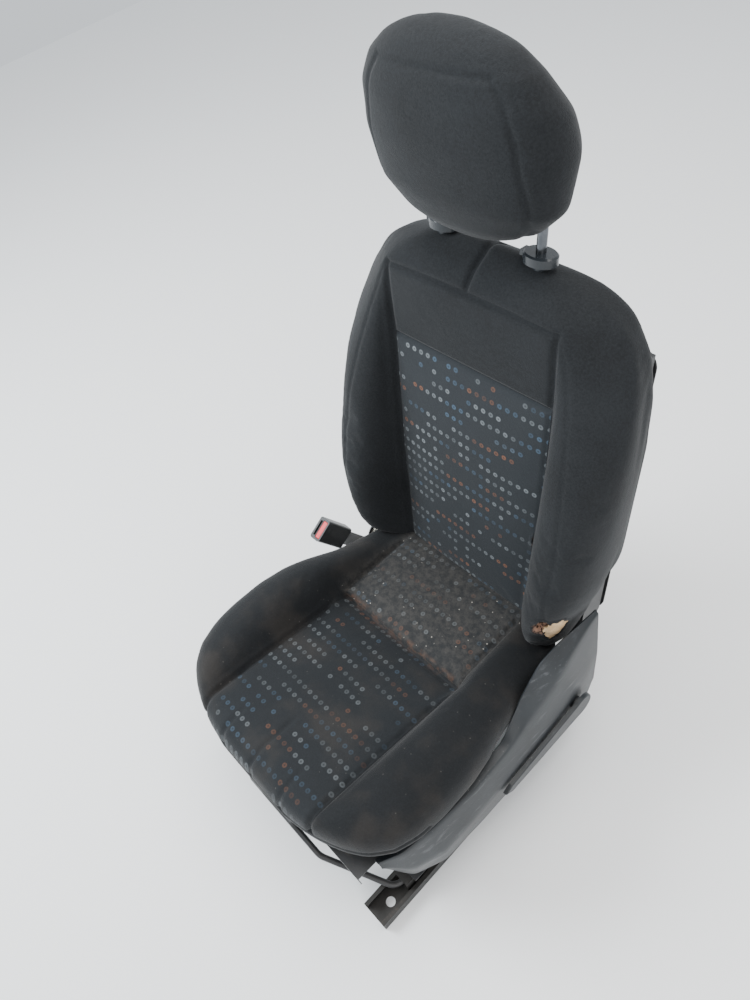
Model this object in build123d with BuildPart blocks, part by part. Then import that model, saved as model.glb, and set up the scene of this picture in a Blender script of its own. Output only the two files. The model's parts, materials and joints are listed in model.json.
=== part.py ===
from build123d import *
from math import cos, radians, sin, tan
import os

# Passenger-car front seat for the left-hand side of the car.
# Frame: origin at the centre of the floor-bolt pattern, on the underside of the rails.
# +X is the occupant's left (door side), -Y is the front of the seat, +Z is up. Millimetres.

# ---- driving dimensions ----------------------------------------------------------------

# rails
rail_gauge = 406.0          # centre to centre of the two rails
rail_length = 460.0         # lower rail
rail_width = 46.0
rail_height = 24.0
rail_sheet = 2.0
rail_lip = 7.0              # lower rail's inward lip, from its outer face
bolt_pitch = 394.0          # floor bolts, front to rear
bolt_hole_d = 16.0
upper_rail_length = 380.0
upper_rail_front = -165.0   # where the upper rail starts, seat in its stored position
upper_rail_top = 44.0
upper_rail_web = 26.0       # outside width of its inverted U
notch_pitch = 10.0
notch_width = 5.0
ball_d = 4.8
run_gap = 0.3               # between curved faces that move past each other

# towel bar and latch
bar_d = 10.0
bar_z = 34.0
bar_pivot_y = -20.0
bar_drop = 3.0              # degrees from held up, as here, down to latched
bar_handle_half = 38.0
bar_handle_y = -233.0
bar_handle_z = 108.0
bar_bend_x = 92.0
bar_bend_z = 74.0
latch_pin_d = 8.0
pin_gap = 0.05              # radial, round a pin that turns

# base frame
side_plate_x = 219.5        # inner face of the cushion side members
side_sheet = 2.5
hinge_y = 240.0
hinge_z = 195.0
hinge_boss_r = 38.0
recliner_d = 66.0
recliner_t = 6.0
cross_tube_d = 25.0
tube_wall = 2.0
front_tube_y = -135.0
front_tube_z = 105.0
rear_tube_y = 185.0
rear_tube_z = 112.0
side_front_y = -150.0        # front end of the cushion side members
pan_sheet = 1.5
pan_rear_y = -25.0
pan_nose_half = side_plate_x - 19.5      # the pan narrows ahead of the side members
spring_wire_d = 3.5

# cushion
cushion_half = 240.0        # widest half width
cushion_front = -240.0
cushion_rear = 223.0
seat_panel_half = 128.0     # half width of the flat middle panel
cover_t = 2.5               # fabric with its backing foam
trench_y = 73.0
trench_z = 250.0

# backrest
back_lean = 8.0             # degrees from vertical
back_half = 240.0
back_bottom = 58.0          # along the backrest, from the hinge axis
back_top = 640.0
back_front = 70.0           # crest of the bolsters, forward of the hinge axis
back_rear = 85.0            # rear face, behind the hinge axis
back_panel_front = 10.0     # flat middle panel, forward of the hinge axis
frame_front = 32.0          # front edge of the steel frame, behind the hinge axis
frame_rear = 78.0
frame_sheet = 2.0
frame_flange = 14.0
frame_top = back_top - 92.0
top_tube_d = 22.0
board_t = 3.0

# headrest
post_gauge = 147.4
post_d = 12.0
post_behind = 25.0          # posts, behind the hinge axis
post_bottom = back_top - 185.0
post_top = back_top + 150.0
post_bend_r = 26.0
head_drop = 15.0            # travel below the raised position drawn here
head_half = 133.0
head_bottom = back_top + 30.0
head_top = head_bottom + 214.0
head_front = 70.0
head_rear = 42.0
sleeve_d = 17.0
sleeve_length = 165.0
collar_w = 44.0
collar_d = 34.0
collar_h = 12.0
button_travel = 3.0

# side shield and recline lever
shield_t = 3.0
lever_hub_y = 208.0
lever_hub_z = 164.0
lever_hub_r = 24.0
lever_length = 170.0
lever_x = 262.5             # outer face of the lever, before its crown
link_arm = 24.0             # crank radius of the release linkage
link_x = 230.0              # inner face of the release link
link_t = 3.0

# buckle
buckle_x = -256.0
buckle_anchor_y = 205.0
buckle_anchor_z = 156.0
buckle_tilt = 31.0          # forward of vertical
buckle_w = 44.0
buckle_t = 24.0
buckle_base = 66.0          # along the stalk, from its anchor bolt
buckle_end = 142.0
strap_t = 3.0
strap_w = 28.0
press_travel = 5.0

# ---- planes and values worked out from them ----------------------------------------------

half_gauge = rail_gauge / 2
rail_half = rail_width / 2
web_half = upper_rail_web / 2
slot_half = rail_half - rail_lip
lean = radians(back_lean)
up_back = Vector(0, sin(lean), cos(lean))
out_front = Vector(0, -cos(lean), sin(lean))
hinge = Vector(0, hinge_y, hinge_z)
back_plane = Plane(origin=hinge, x_dir=(1, 0, 0), z_dir=out_front)       # x, up the back; normal forward
back_side = Plane(origin=hinge, x_dir=-out_front, z_dir=(1, 0, 0))       # rearward, up the back
across_back = Plane(origin=hinge, x_dir=(1, 0, 0), z_dir=up_back)        # x, rearward; normal up the back
post_x = post_gauge / 2
side_outer = side_plate_x + side_sheet
recliner_gap = 0.5
base_disc_x = side_plate_x - recliner_t                   # inner face of the fixed half
back_disc_x = base_disc_x - recliner_gap - recliner_t     # inner face of the moving half
frame_x = back_disc_x                                     # outer face of the back side members
cushion_rear_half = frame_x - frame_flange - 2.0

os.makedirs("parts", exist_ok=True)


def save(builder, name):
    builder.part.label = name
    export_step(builder.part, "parts/" + name + ".step")


def save_mirrored(builder, name):
    with BuildPart() as copy:
        mirror(builder.part, about=Plane.YZ)
    save(copy, name)


def both_sides(x):
    return (x, -x)


# ---- rails ---------------------------------------------------------------------------------

lip_under = rail_height - rail_sheet
notch_half_row = 145.0      # the row of latch notches, each way from the rail's middle

with BuildPart() as lower_rail:
    with BuildSketch(Plane.XZ.offset(-rail_length / 2)):
        with Locations((half_gauge, rail_height / 2)):
            Rectangle(rail_width, rail_height)
            Rectangle(rail_width - 2 * rail_sheet, rail_height - 2 * rail_sheet, mode=Mode.SUBTRACT)
        with Locations((half_gauge, rail_height)):
            Rectangle(2 * slot_half, 4 * rail_sheet, mode=Mode.SUBTRACT)
    extrude(amount=rail_length)
    with Locations((half_gauge, -bolt_pitch / 2, rail_sheet), (half_gauge, bolt_pitch / 2, rail_sheet)):
        Hole(bolt_hole_d / 2, depth=3 * rail_sheet)
    notch_count = int(2 * notch_half_row / notch_pitch) + 1
    notch_depth = 4.0
    with BuildSketch(Plane.XY.offset(lip_under - 1)) as notches:
        with Locations((half_gauge - slot_half - notch_depth / 2, 0)):
            with GridLocations(0, notch_pitch, 1, notch_count):
                Rectangle(notch_depth + 1, notch_width)
    extrude(amount=rail_sheet + 2, mode=Mode.SUBTRACT)

save(lower_rail, "lower_rail_door")
save_mirrored(lower_rail, "lower_rail_tunnel")

# the upper rail hangs in the lower one: inverted U, feet turned out and up under the lips
foot_z = rail_sheet + ball_d + 2 * run_gap
foot_half = rail_half - rail_sheet - 1.0
foot_top = lip_under - 0.6
latch_y = -75.0             # middle of the latch teeth
tooth_count = 3
window_length = tooth_count * notch_pitch + 10.0
window_height = 20.0
window_z = rail_height + 6.0

with BuildPart() as upper_rail:
    with BuildSketch(Plane.XZ.offset(-(upper_rail_front + upper_rail_length))):
        with BuildLine():
            Polyline(
                (half_gauge - web_half, upper_rail_top),
                (half_gauge - web_half, foot_z + rail_sheet),
                (half_gauge - foot_half + rail_sheet, foot_z + rail_sheet),
                (half_gauge - foot_half + rail_sheet, foot_top),
                (half_gauge - foot_half, foot_top),
                (half_gauge - foot_half, foot_z),
                (half_gauge - web_half + rail_sheet, foot_z),
                (half_gauge - web_half + rail_sheet, upper_rail_top - rail_sheet),
                (half_gauge, upper_rail_top - rail_sheet),
                (half_gauge, upper_rail_top),
                close=True,
            )
        make_face()
        mirror(about=Plane(origin=(half_gauge, 0, 0), z_dir=(1, 0, 0)))
    extrude(amount=upper_rail_length)
    # windows that let the latch teeth through the inner web
    with Locations((half_gauge - web_half + rail_sheet / 2, latch_y, window_z)):
        Box(2 * rail_sheet, window_length, window_height, mode=Mode.SUBTRACT)
    with Locations(Location((half_gauge, bar_pivot_y, bar_z), (0, 90, 0))):
        Cylinder(latch_pin_d / 2, upper_rail_web + 2, mode=Mode.SUBTRACT)

save(upper_rail, "upper_rail_door")
save_mirrored(upper_rail, "upper_rail_tunnel")

# plastic strips that keep the balls apart, two in each rail
cage_length = 120.0
cage_t = 1.6
cage_x = (web_half + foot_half) / 2
cage_half_w = (foot_half - web_half) / 2 - 0.4
ball_z = rail_sheet + run_gap + ball_d / 2
ball_pitch = 45.0

with BuildPart() as ball_cages:
    for rail_x in both_sides(half_gauge):
        for side in both_sides(cage_x):
            with Locations((rail_x + side, 0, ball_z)):
                Box(2 * cage_half_w, cage_length, cage_t)
                with GridLocations(0, ball_pitch, 1, 3):
                    Cylinder(ball_d / 2 + 0.1, 2 * cage_t, mode=Mode.SUBTRACT)
save(ball_cages, "ball_cages")

with BuildPart() as track_balls:
    for rail_x in both_sides(half_gauge):
        for side in both_sides(cage_x):
            with Locations((rail_x + side, 0, ball_z)):
                with GridLocations(0, ball_pitch, 1, 3):
                    Sphere(ball_d / 2)
save(track_balls, "track_balls")

# ---- towel bar and its latch ------------------------------------------------------------------

lever_front_y = -118.0
lever_rear_y = bar_pivot_y + 8.0
lever_half_w = web_half - rail_sheet - 1.5
lever_half_h = 6.0
tooth_gap = 0.4             # teeth above the lower rail while the bar is held up
tooth_width = notch_width - 1.2
tooth_tip_z = rail_height + tooth_gap
comb_length = (tooth_count - 1) * notch_pitch + tooth_width
comb_reach = bar_pivot_y - latch_y + comb_length / 2
comb_low = tooth_tip_z + comb_reach * sin(radians(bar_drop))
comb_out = foot_half - rail_sheet - run_gap
comb_mid = (lever_half_w + comb_out) / 2
comb_span = comb_out - lever_half_w

# a comb of teeth on each lever stands over the lower rail's notches and drops into them
with BuildPart() as latch_levers:
    for rail_x, inward in ((half_gauge, -1), (-half_gauge, 1)):
        with Locations((rail_x, (lever_front_y + lever_rear_y) / 2, bar_z)):
            Box(2 * lever_half_w, lever_rear_y - lever_front_y, 2 * lever_half_h)
        with Locations(Location((rail_x, bar_pivot_y, bar_z), (0, 90, 0))):
            Cylinder(latch_pin_d / 2 + pin_gap, 2 * lever_half_w + 2, mode=Mode.SUBTRACT)
        comb_x = rail_x + inward * comb_mid
        with Locations((comb_x, latch_y, (bar_z + comb_low) / 2)):
            Box(comb_span, comb_length, bar_z - comb_low)
        with Locations((comb_x, latch_y, (comb_low + tooth_tip_z) / 2)):
            with GridLocations(0, notch_pitch, 1, tooth_count):
                Box(comb_span, tooth_width, comb_low - tooth_tip_z)
save(latch_levers, "latch_levers")

with BuildPart() as latch_pins:
    with Locations(*[Location((x, bar_pivot_y, bar_z), (0, 90, 0)) for x in both_sides(half_gauge)]):
        Cylinder(latch_pin_d / 2, upper_rail_web)
save(latch_pins, "latch_pins")

with BuildPart() as towel_bar:
    with BuildLine() as bar_path:
        FilletPolyline(
            (half_gauge, lever_front_y, bar_z),
            (half_gauge, upper_rail_front - 12, bar_z),
            (bar_bend_x, bar_handle_y, bar_bend_z),
            (bar_handle_half, bar_handle_y, bar_handle_z),
            (-bar_handle_half, bar_handle_y, bar_handle_z),
            (-bar_bend_x, bar_handle_y, bar_bend_z),
            (-half_gauge, upper_rail_front - 12, bar_z),
            (-half_gauge, lever_front_y, bar_z),
            radius=[22, 30, 20, 20, 30, 22],
        )
    with BuildSketch(Plane(origin=bar_path.line @ 0, z_dir=bar_path.line % 0)):
        Circle(bar_d / 2)
    sweep()
save(towel_bar, "towel_bar")

# ---- base frame ---------------------------------------------------------------------------------

foam_under = ((-216.0, 196.0), (-110.0, 184.0), (cushion_rear, 166.0))     # underside of the cushion, y and z
side_top_gap = pan_sheet + 0.5
foot_inner = half_gauge - web_half


def under_z(y):
    (y0, z0), (y1, z1), (y2, z2) = foam_under
    if y < y1:
        return z0 + (z1 - z0) * (y - y0) / (y1 - y0)
    return z1 + (z2 - z1) * (y - y1) / (y2 - y1)


with BuildPart() as side_member:
    with BuildSketch(Plane.YZ.offset(side_plate_x)):
        with BuildLine():
            Polyline(
                (side_front_y, 96),
                (side_front_y + 30, upper_rail_top),
                (200, upper_rail_top),
                (hinge_y + 20, 120),
                (hinge_y + hinge_boss_r, hinge_z),
                (hinge_y - hinge_boss_r, hinge_z),
                (150, under_z(150) - side_top_gap - 12),
                (-110, under_z(-110) - side_top_gap),
                (side_front_y, under_z(side_front_y) - side_top_gap),
                close=True,
            )
        make_face()
        with Locations((hinge_y, hinge_z)):
            Circle(hinge_boss_r)
        # lightening holes
        with Locations((-70, 110), (40, 105)):
            SlotOverall(70, 36, mode=Mode.SUBTRACT)
    extrude(amount=side_sheet)
    with Locations(((foot_inner + side_outer) / 2, 25, upper_rail_top + side_sheet / 2)):
        Box(side_outer - foot_inner, 350, side_sheet)
    with Locations((half_gauge, -120, upper_rail_top), (half_gauge, 160, upper_rail_top)):
        Cylinder(4.2, 20, mode=Mode.SUBTRACT)
    with Locations(Location((side_plate_x, hinge_y, hinge_z), (0, 90, 0))):
        Cylinder(9, 30, mode=Mode.SUBTRACT)
save(side_member, "side_member_door")
save_mirrored(side_member, "side_member_tunnel")

with BuildPart() as rail_bolts:
    for x in both_sides(half_gauge):
        for y in (-120, 160):
            with BuildSketch(Plane((x, y, upper_rail_top + side_sheet))):
                RegularPolygon(7.5, 6)
            extrude(amount=5.5)
            with Locations((x, y, upper_rail_top + side_sheet / 2)):
                Cylinder(4, side_sheet)
save(rail_bolts, "rail_bolts")


def cross_tube(y, z):
    with BuildPart() as tube:
        with BuildSketch(Plane.YZ.offset(-side_plate_x)):
            with Locations((y, z)):
                Circle(cross_tube_d / 2)
                Circle(cross_tube_d / 2 - tube_wall, mode=Mode.SUBTRACT)
        extrude(amount=2 * side_plate_x)
    return tube


save(cross_tube(front_tube_y, front_tube_z), "front_cross_tube")
save(cross_tube(rear_tube_y, rear_tube_z), "rear_cross_tube")

pan_half = side_plate_x
with BuildPart() as cushion_pan:
    with BuildSketch(Plane.YZ.offset(-pan_half)):
        with BuildLine():
            Polyline(
                (foam_under[0][0], foam_under[0][1]),
                foam_under[1],
                (pan_rear_y, under_z(pan_rear_y)),
                (pan_rear_y, under_z(pan_rear_y) - pan_sheet),
                (foam_under[1][0], foam_under[1][1] - pan_sheet),
                (foam_under[0][0] + pan_sheet, foam_under[0][1] - pan_sheet),
                (foam_under[0][0] + pan_sheet, foam_under[0][1] - 26),
                (foam_under[0][0], foam_under[0][1] - 26),
                close=True,
            )
        make_face()
    extrude(amount=2 * pan_half)
    corner_w = pan_half - pan_nose_half
    for x in both_sides(pan_nose_half + corner_w / 2):
        with Locations((x, side_front_y - 50, foam_under[0][1])):
            Box(corner_w, 100, 80, mode=Mode.SUBTRACT)
save(cushion_pan, "cushion_pan")

# four zigzag springs from the pan's rear edge to the rear tube
spring_z0 = under_z(pan_rear_y) - pan_sheet - spring_wire_d / 2
spring_end_y = rear_tube_y
spring_end_z = rear_tube_z + cross_tube_d / 2 + spring_wire_d / 2
spring_turns = 9
spring_half_w = 22.0

with BuildPart() as cushion_springs:
    for x in (-135.0, -45.0, 45.0, 135.0):
        zigzag = [(x, pan_rear_y - 22, spring_z0)]
        for i in range(spring_turns + 1):
            share = i / spring_turns
            y = pan_rear_y + 6 + (spring_end_y - 14 - pan_rear_y - 6) * share
            z = spring_z0 + (spring_end_z - spring_z0) * share
            side = spring_half_w if i % 2 else -spring_half_w
            zigzag.append((x + side, y, z))
        zigzag.append((x, spring_end_y + 4, spring_end_z))
        with BuildLine(mode=Mode.PRIVATE) as zigzag_path:
            FilletPolyline(*zigzag, radius=5.0)
        with BuildSketch(Plane(origin=zigzag_path.line @ 0, z_dir=zigzag_path.line % 0)):
            Circle(spring_wire_d / 2)
        sweep(path=zigzag_path.line)
save(cushion_springs, "cushion_springs")

# recliners: fixed half on the side member, moving half on the back frame, 0.5 mm apart
with BuildPart() as recliner_fixed:
    with Locations(Location((base_disc_x + recliner_t / 2, hinge_y, hinge_z), (0, 90, 0))):
        Cylinder(recliner_d / 2, recliner_t)
        Cylinder(7, recliner_t + 2, mode=Mode.SUBTRACT)
save(recliner_fixed, "recliner_fixed_door")
save_mirrored(recliner_fixed, "recliner_fixed_tunnel")

with BuildPart() as recliner_moving:
    with Locations(Location((back_disc_x + recliner_t / 2, hinge_y, hinge_z), (0, 90, 0))):
        Cylinder(recliner_d / 2 - 2, recliner_t)
        Cylinder(7, recliner_t + 2, mode=Mode.SUBTRACT)
save(recliner_moving, "recliner_moving_door")
save_mirrored(recliner_moving, "recliner_moving_tunnel")

# ---- cushion ------------------------------------------------------------------------------------


def cushion_body(inset):
    """Cushion with its bolsters, drawn in by inset on every side but the underside."""
    half = cushion_half - inset
    rear_half = cushion_rear_half - inset
    front = cushion_front + inset
    rear = cushion_rear - inset
    with BuildPart() as body:
        with BuildSketch(Plane.XY.offset(100)):
            with BuildLine():
                nose = ThreePointArc((0, front), (half * 0.42, front + 4), (half * 0.74, front + 30))
                corner = ThreePointArc(nose @ 1, (half * 0.93, front + 82), (half, front + 165))
                waist = ThreePointArc(corner @ 1, (half - 8, 30), (rear_half, 120))
                edge = Line(waist @ 1, (rear_half, rear))
                back_edge = Line(edge @ 1, (0, rear))
                mirror(about=Plane.YZ)
            make_face()
        extrude(amount=300)
        # side view: crest of the bolsters
        with BuildSketch(Plane.YZ.offset(-300)):
            with BuildLine():
                low_front = foam_under[0][0] + inset
                nose_up = Line((low_front, under_z(low_front)), (front, 248))
                brow = ThreePointArc(nose_up @ 1, (front + 14, 296 - inset), (front + 62, 316 - inset))
                crest = ThreePointArc(brow @ 1, (-40, 318 - inset), (100, 285 - inset))
                tail = Line(crest @ 1, (rear, 254 - inset))
                down = Line(tail @ 1, (rear, under_z(rear)))
                Polyline(down @ 1, foam_under[1], nose_up @ 0)
            make_face()
        extrude(amount=600, mode=Mode.INTERSECT)
        # front view: rounded shoulders, tucked in below the widest line
        with BuildSketch(Plane.XZ.offset(300)):
            with BuildLine():
                tuck = Polyline((0, 150), (half - 38, 150), (half - 38, 214), (half, 248))
                shoulder = ThreePointArc(tuck @ 1, (half - 14, 293 - inset), (half - 52, 320 - inset))
                Line(shoulder @ 1, (0, 330))
                mirror(about=Plane.YZ)
            make_face()
        extrude(amount=-600, mode=Mode.INTERSECT)
        # flat middle panel: front and rear parts fall towards the trench
        front_slope = Vector(0, cushion_front + 20 - trench_y, 308 - trench_z)
        rear_slope = Vector(0, cushion_rear + 10 - trench_y, 262 - trench_z)
        front_plane = Plane(
            origin=(0, trench_y, trench_z - inset), x_dir=(1, 0, 0), z_dir=Vector(1, 0, 0).cross(-front_slope)
        )
        rear_plane = Plane(
            origin=(0, trench_y, trench_z - inset), x_dir=(1, 0, 0), z_dir=Vector(1, 0, 0).cross(rear_slope)
        )
        panel_half = seat_panel_half + inset
        with BuildSketch(front_plane):
            with Locations((0, -200)):
                Rectangle(2 * panel_half, 400)
        extrude(amount=90, taper=-38, mode=Mode.SUBTRACT)
        with BuildSketch(rear_plane):
            with Locations((0, 150)):
                Rectangle(2 * panel_half, 300)
        extrude(amount=90, taper=-38, mode=Mode.SUBTRACT)
    return body


cushion_outer = cushion_body(0)
cushion_foam = cushion_body(cover_t)
save(cushion_foam, "cushion_foam")

with BuildPart() as cushion_cover:
    add(cushion_outer.part)
    add(cushion_foam.part, mode=Mode.SUBTRACT)
save(cushion_cover, "cushion_cover")

# ---- backrest frame -----------------------------------------------------------------------------

with BuildPart() as back_side_member:
    with BuildSketch(back_side.offset(frame_x - frame_flange)) as back_outline:
        with BuildLine():
            Polyline(
                (-hinge_boss_r + 4, 0),
                (frame_front, back_bottom - 6),
                (frame_front, frame_top),
                (frame_rear, frame_top),
                (frame_rear, 70),
                (hinge_boss_r - 4, 0),
                close=True,
            )
        make_face()
        Circle(hinge_boss_r - 4)
    extrude(amount=frame_flange)
    with BuildSketch(back_side.offset(frame_x - frame_flange)):
        offset(back_outline.sketch_local, amount=-frame_sheet)
    extrude(amount=frame_flange - frame_sheet, mode=Mode.SUBTRACT)
    with Locations(Location((frame_x, hinge_y, hinge_z), (0, 90, 0))):
        Cylinder(9, 40, mode=Mode.SUBTRACT)
save(back_side_member, "back_side_member_door")
save_mirrored(back_side_member, "back_side_member_tunnel")

# cross tube near the top, with two square tubes in front of it for the headrest guides
guide_tube_w = 22.0
top_tube_v = frame_top - 26.0
top_tube_r = post_behind + guide_tube_w / 2 + top_tube_d / 2
frame_inner = frame_x - frame_sheet

with BuildPart() as back_top_tube:
    with BuildSketch(back_side.offset(-frame_inner)):
        with Locations((top_tube_r, top_tube_v)):
            Circle(top_tube_d / 2)
            Circle(top_tube_d / 2 - tube_wall, mode=Mode.SUBTRACT)
    extrude(amount=2 * frame_inner)
save(back_top_tube, "back_top_tube")

guide_tube_low = frame_top - 48.0
guide_tube_high = back_top - 50.0
with BuildPart() as guide_tubes:
    with BuildSketch(across_back.offset(guide_tube_low)):
        with Locations((post_x, post_behind), (-post_x, post_behind)):
            Rectangle(guide_tube_w, guide_tube_w)
            Circle(sleeve_d / 2 + 0.5, mode=Mode.SUBTRACT)
    extrude(amount=guide_tube_high - guide_tube_low)
save(guide_tubes, "guide_tubes")

with BuildPart() as back_lower_panel:
    with BuildSketch(back_side.offset(-frame_inner)):
        with Locations((frame_rear - 14, 105)):
            Rectangle(20, 50)
            with Locations((-frame_sheet, 0)):
                Rectangle(20, 50 - 2 * frame_sheet, mode=Mode.SUBTRACT)
    extrude(amount=2 * frame_inner)
save(back_lower_panel, "back_lower_panel")

# wire mat that carries the backrest foam, hooked into the side members
mat_r = frame_front + 5.0
mat_half = 150.0
mat_low = 130.0
mat_high = 430.0
mat_rungs = 8
with BuildPart() as suspension_mat:
    for x in both_sides(mat_half):
        with BuildSketch(across_back.offset(mat_low - 8)):
            with Locations((x, mat_r)):
                Circle(2.0)
        extrude(amount=mat_high - mat_low + 16)
    with BuildSketch(back_side.offset(-frame_inner)):
        with Locations((mat_r, (mat_low + mat_high) / 2)):
            with GridLocations(0, (mat_high - mat_low) / (mat_rungs - 1), 1, mat_rungs):
                Circle(1.4)
    extrude(amount=2 * frame_inner)
save(suspension_mat, "suspension_mat")

# ---- backrest foam, cover and board -------------------------------------------------------------


def back_body(inset, rear):
    """Backrest outline with bolsters, drawn in by inset, from its front to rear behind the hinge."""
    half = back_half - inset
    low = back_bottom + inset
    top = back_top - inset
    with BuildPart() as body:
        with BuildSketch(back_plane.offset(-rear)):
            with BuildLine():
                sole = Line((0, low), (178, low))
                heel = ThreePointArc(sole @ 1, (198 - inset, low + 7), (206 - inset, low + 26))
                flank = ThreePointArc(heel @ 1, (223 - inset, 150), (half, 240))
                side = Line(flank @ 1, (half, 430))
                shoulder = ThreePointArc(side @ 1, (half - 20, top - 88), (half - 90, top - 22))
                ThreePointArc(shoulder @ 1, (75, top - 5), (0, top))
                mirror(about=Plane.YZ)
            make_face()
        extrude(amount=rear + 120)
        # side view: crest of the bolsters and the rounded top
        with BuildSketch(back_side.offset(-300)):
            with BuildLine():
                front = back_front - inset
                toe = Line((rear, low), (-20, low))
                swell = ThreePointArc(toe @ 1, (-(front - 14), low + 36), (-front, 180))
                crest = ThreePointArc(swell @ 1, (-(front - 14), 300), (-(36 - inset), 400))
                chest = ThreePointArc(crest @ 1, (-(29 - inset), 480), (-(29 - inset), top - 62))
                crown = ThreePointArc(chest @ 1, (-(15 - inset), top - 12), (25, top))
                nape = ThreePointArc(crown @ 1, (min(68, rear - 4), top - 18), (rear, top - 60))
                Line(nape @ 1, toe @ 0)
            make_face()
        extrude(amount=600, mode=Mode.INTERSECT)
        # seen along the back: rounded front and rear edges
        with BuildSketch(across_back):
            with BuildLine():
                rim = ThreePointArc((half - 60, -front), (half - 17, 17 - front), (half, 62 - front))
                flat = Line(rim @ 1, (half, 60))
                turn = ThreePointArc(flat @ 1, (half - 12, 80 - inset), (half - 40, back_rear - inset))
                Line(turn @ 1, (0, back_rear - inset))
                Line((0, -front), rim @ 0)
                mirror(about=Plane.YZ)
            make_face()
        extrude(amount=700, mode=Mode.INTERSECT)
        # flat middle panel, a little more upright than the frame
        panel_slope = 1.9
        panel_plane = back_plane.offset(back_panel_front - inset).rotated((panel_slope, 0, 0))
        with BuildSketch(panel_plane):
            with Locations((0, 265)):
                Rectangle(2 * (seat_panel_half + inset), 530)
        extrude(amount=100, taper=-32, mode=Mode.SUBTRACT)
    return body


back_envelope = back_body(0, back_rear)
back_inner = back_body(cover_t, back_rear)

sleeve_hole = sleeve_d / 2 + 0.5
# hollow at the back for the frame and its board
hollow_front = frame_front - 2.0
hollow_half = frame_x + 3.0
hollow_top = frame_top + 5.0

with BuildPart() as backrest_cover:
    add(back_envelope.part)
    add(back_inner.part, mode=Mode.SUBTRACT)
    with BuildSketch(back_plane.offset(-hollow_front)):
        with Locations((0, hollow_top / 2)):
            Rectangle(2 * hollow_half, hollow_top)
    extrude(amount=-100, mode=Mode.SUBTRACT)
    with BuildSketch(across_back.offset(guide_tube_high)):
        with Locations((post_x, post_behind), (-post_x, post_behind)):
            Circle(sleeve_hole)
    extrude(amount=100, mode=Mode.SUBTRACT)
save(backrest_cover, "backrest_cover")

with BuildPart() as backrest_foam:
    add(back_inner.part)
    with BuildSketch(back_plane.offset(-hollow_front)):
        with Locations((0, hollow_top / 2)):
            Rectangle(2 * hollow_half, hollow_top)
    extrude(amount=-100, mode=Mode.SUBTRACT)
    # pockets for the headrest guides
    with BuildSketch(across_back.offset(post_bottom - head_drop - 5)):
        with Locations((post_x, post_behind), (-post_x, post_behind)):
            Rectangle(guide_tube_w + 4, guide_tube_w + 4)
    extrude(amount=400, mode=Mode.SUBTRACT)
save(backrest_foam, "backrest_foam")

with BuildPart() as back_board:
    with BuildSketch(back_plane.offset(-back_rear)):
        with Locations((0, (back_bottom + frame_top) / 2)):
            RectangleRounded(2 * (hollow_half - 1), frame_top - back_bottom - 2, 24)
    extrude(amount=board_t)
save(back_board, "back_board")

# ---- headrest guides and their buttons ----------------------------------------------------------

post_r = post_d / 2
sleeve_bore = post_r + 0.08
collar_low = back_top + 0.5
slot_low = collar_low + 3.0
slot_high = collar_low + 10.5
button_in = -11.0 - button_travel     # inner end of the button, from the post, at rest
button_out = -collar_w / 2 - 4.5
button_half_w = 6.0


def guide_sleeve(x):
    with BuildPart() as sleeve:
        with BuildSketch(across_back.offset(back_top - sleeve_length)):
            with Locations((x, post_behind)):
                Circle(sleeve_d / 2)
        extrude(amount=sleeve_length + 1)
        with BuildSketch(across_back.offset(collar_low)):
            with Locations((x, post_behind)):
                Ellipse(collar_w / 2, collar_d / 2)
        extrude(amount=collar_h)
        chamfer(sleeve.edges().group_by(Axis(origin=(0, 0, 0), direction=up_back))[-1], 2.0)
        with BuildSketch(across_back.offset(back_top - sleeve_length - 1)):
            with Locations((x, post_behind)):
                Circle(sleeve_bore)
        extrude(amount=sleeve_length + 2 * collar_h, mode=Mode.SUBTRACT)
        with BuildSketch(across_back.offset(slot_low)):
            with Locations((x - collar_w / 2 + 5.5, post_behind)):
                Rectangle(collar_w / 2 - 4.5, 2 * button_half_w + 0.6)
        extrude(amount=slot_high - slot_low, mode=Mode.SUBTRACT)
    return sleeve


def release_button(x):
    with BuildPart() as button:
        with BuildSketch(across_back.offset(slot_low + run_gap)):
            with Locations((x + (button_in + button_out) / 2, post_behind)):
                Rectangle(button_in - button_out, 2 * button_half_w)
        extrude(amount=slot_high - slot_low - 2 * run_gap)
        fillet(button.edges().filter_by(Axis.X, reverse=True).group_by(Axis.X)[0], 1.5)
    return button


for x, side_name in ((post_x, "door"), (-post_x, "tunnel")):
    save(guide_sleeve(x), "guide_sleeve_" + side_name)
    save(release_button(x), "release_button_" + side_name)

# ---- headrest -----------------------------------------------------------------------------------

posts_plane = back_plane.offset(-post_behind)

with BuildPart() as headrest_rod:
    with BuildLine(posts_plane) as rod_path:
        FilletPolyline(
            (post_x, post_bottom),
            (post_x, post_top),
            (-post_x, post_top),
            (-post_x, post_bottom),
            radius=post_bend_r,
        )
    with BuildSketch(Plane(origin=rod_path.line @ 0, z_dir=rod_path.line % 0)):
        Circle(post_r)
    sweep()
save(headrest_rod, "headrest_rod")

core_half = 88.0
core_low = head_bottom + 50.0
core_high = post_top + 10
core_half_t = 10.0
core_corner = 12.0
with BuildPart() as headrest_core:
    with BuildSketch(posts_plane.offset(-core_half_t)):
        with Locations((0, (core_low + core_high) / 2)):
            RectangleRounded(2 * core_half, core_high - core_low, core_corner)
    extrude(amount=2 * core_half_t)
    add(headrest_rod.part, mode=Mode.SUBTRACT)
save(headrest_core, "headrest_core")


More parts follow.
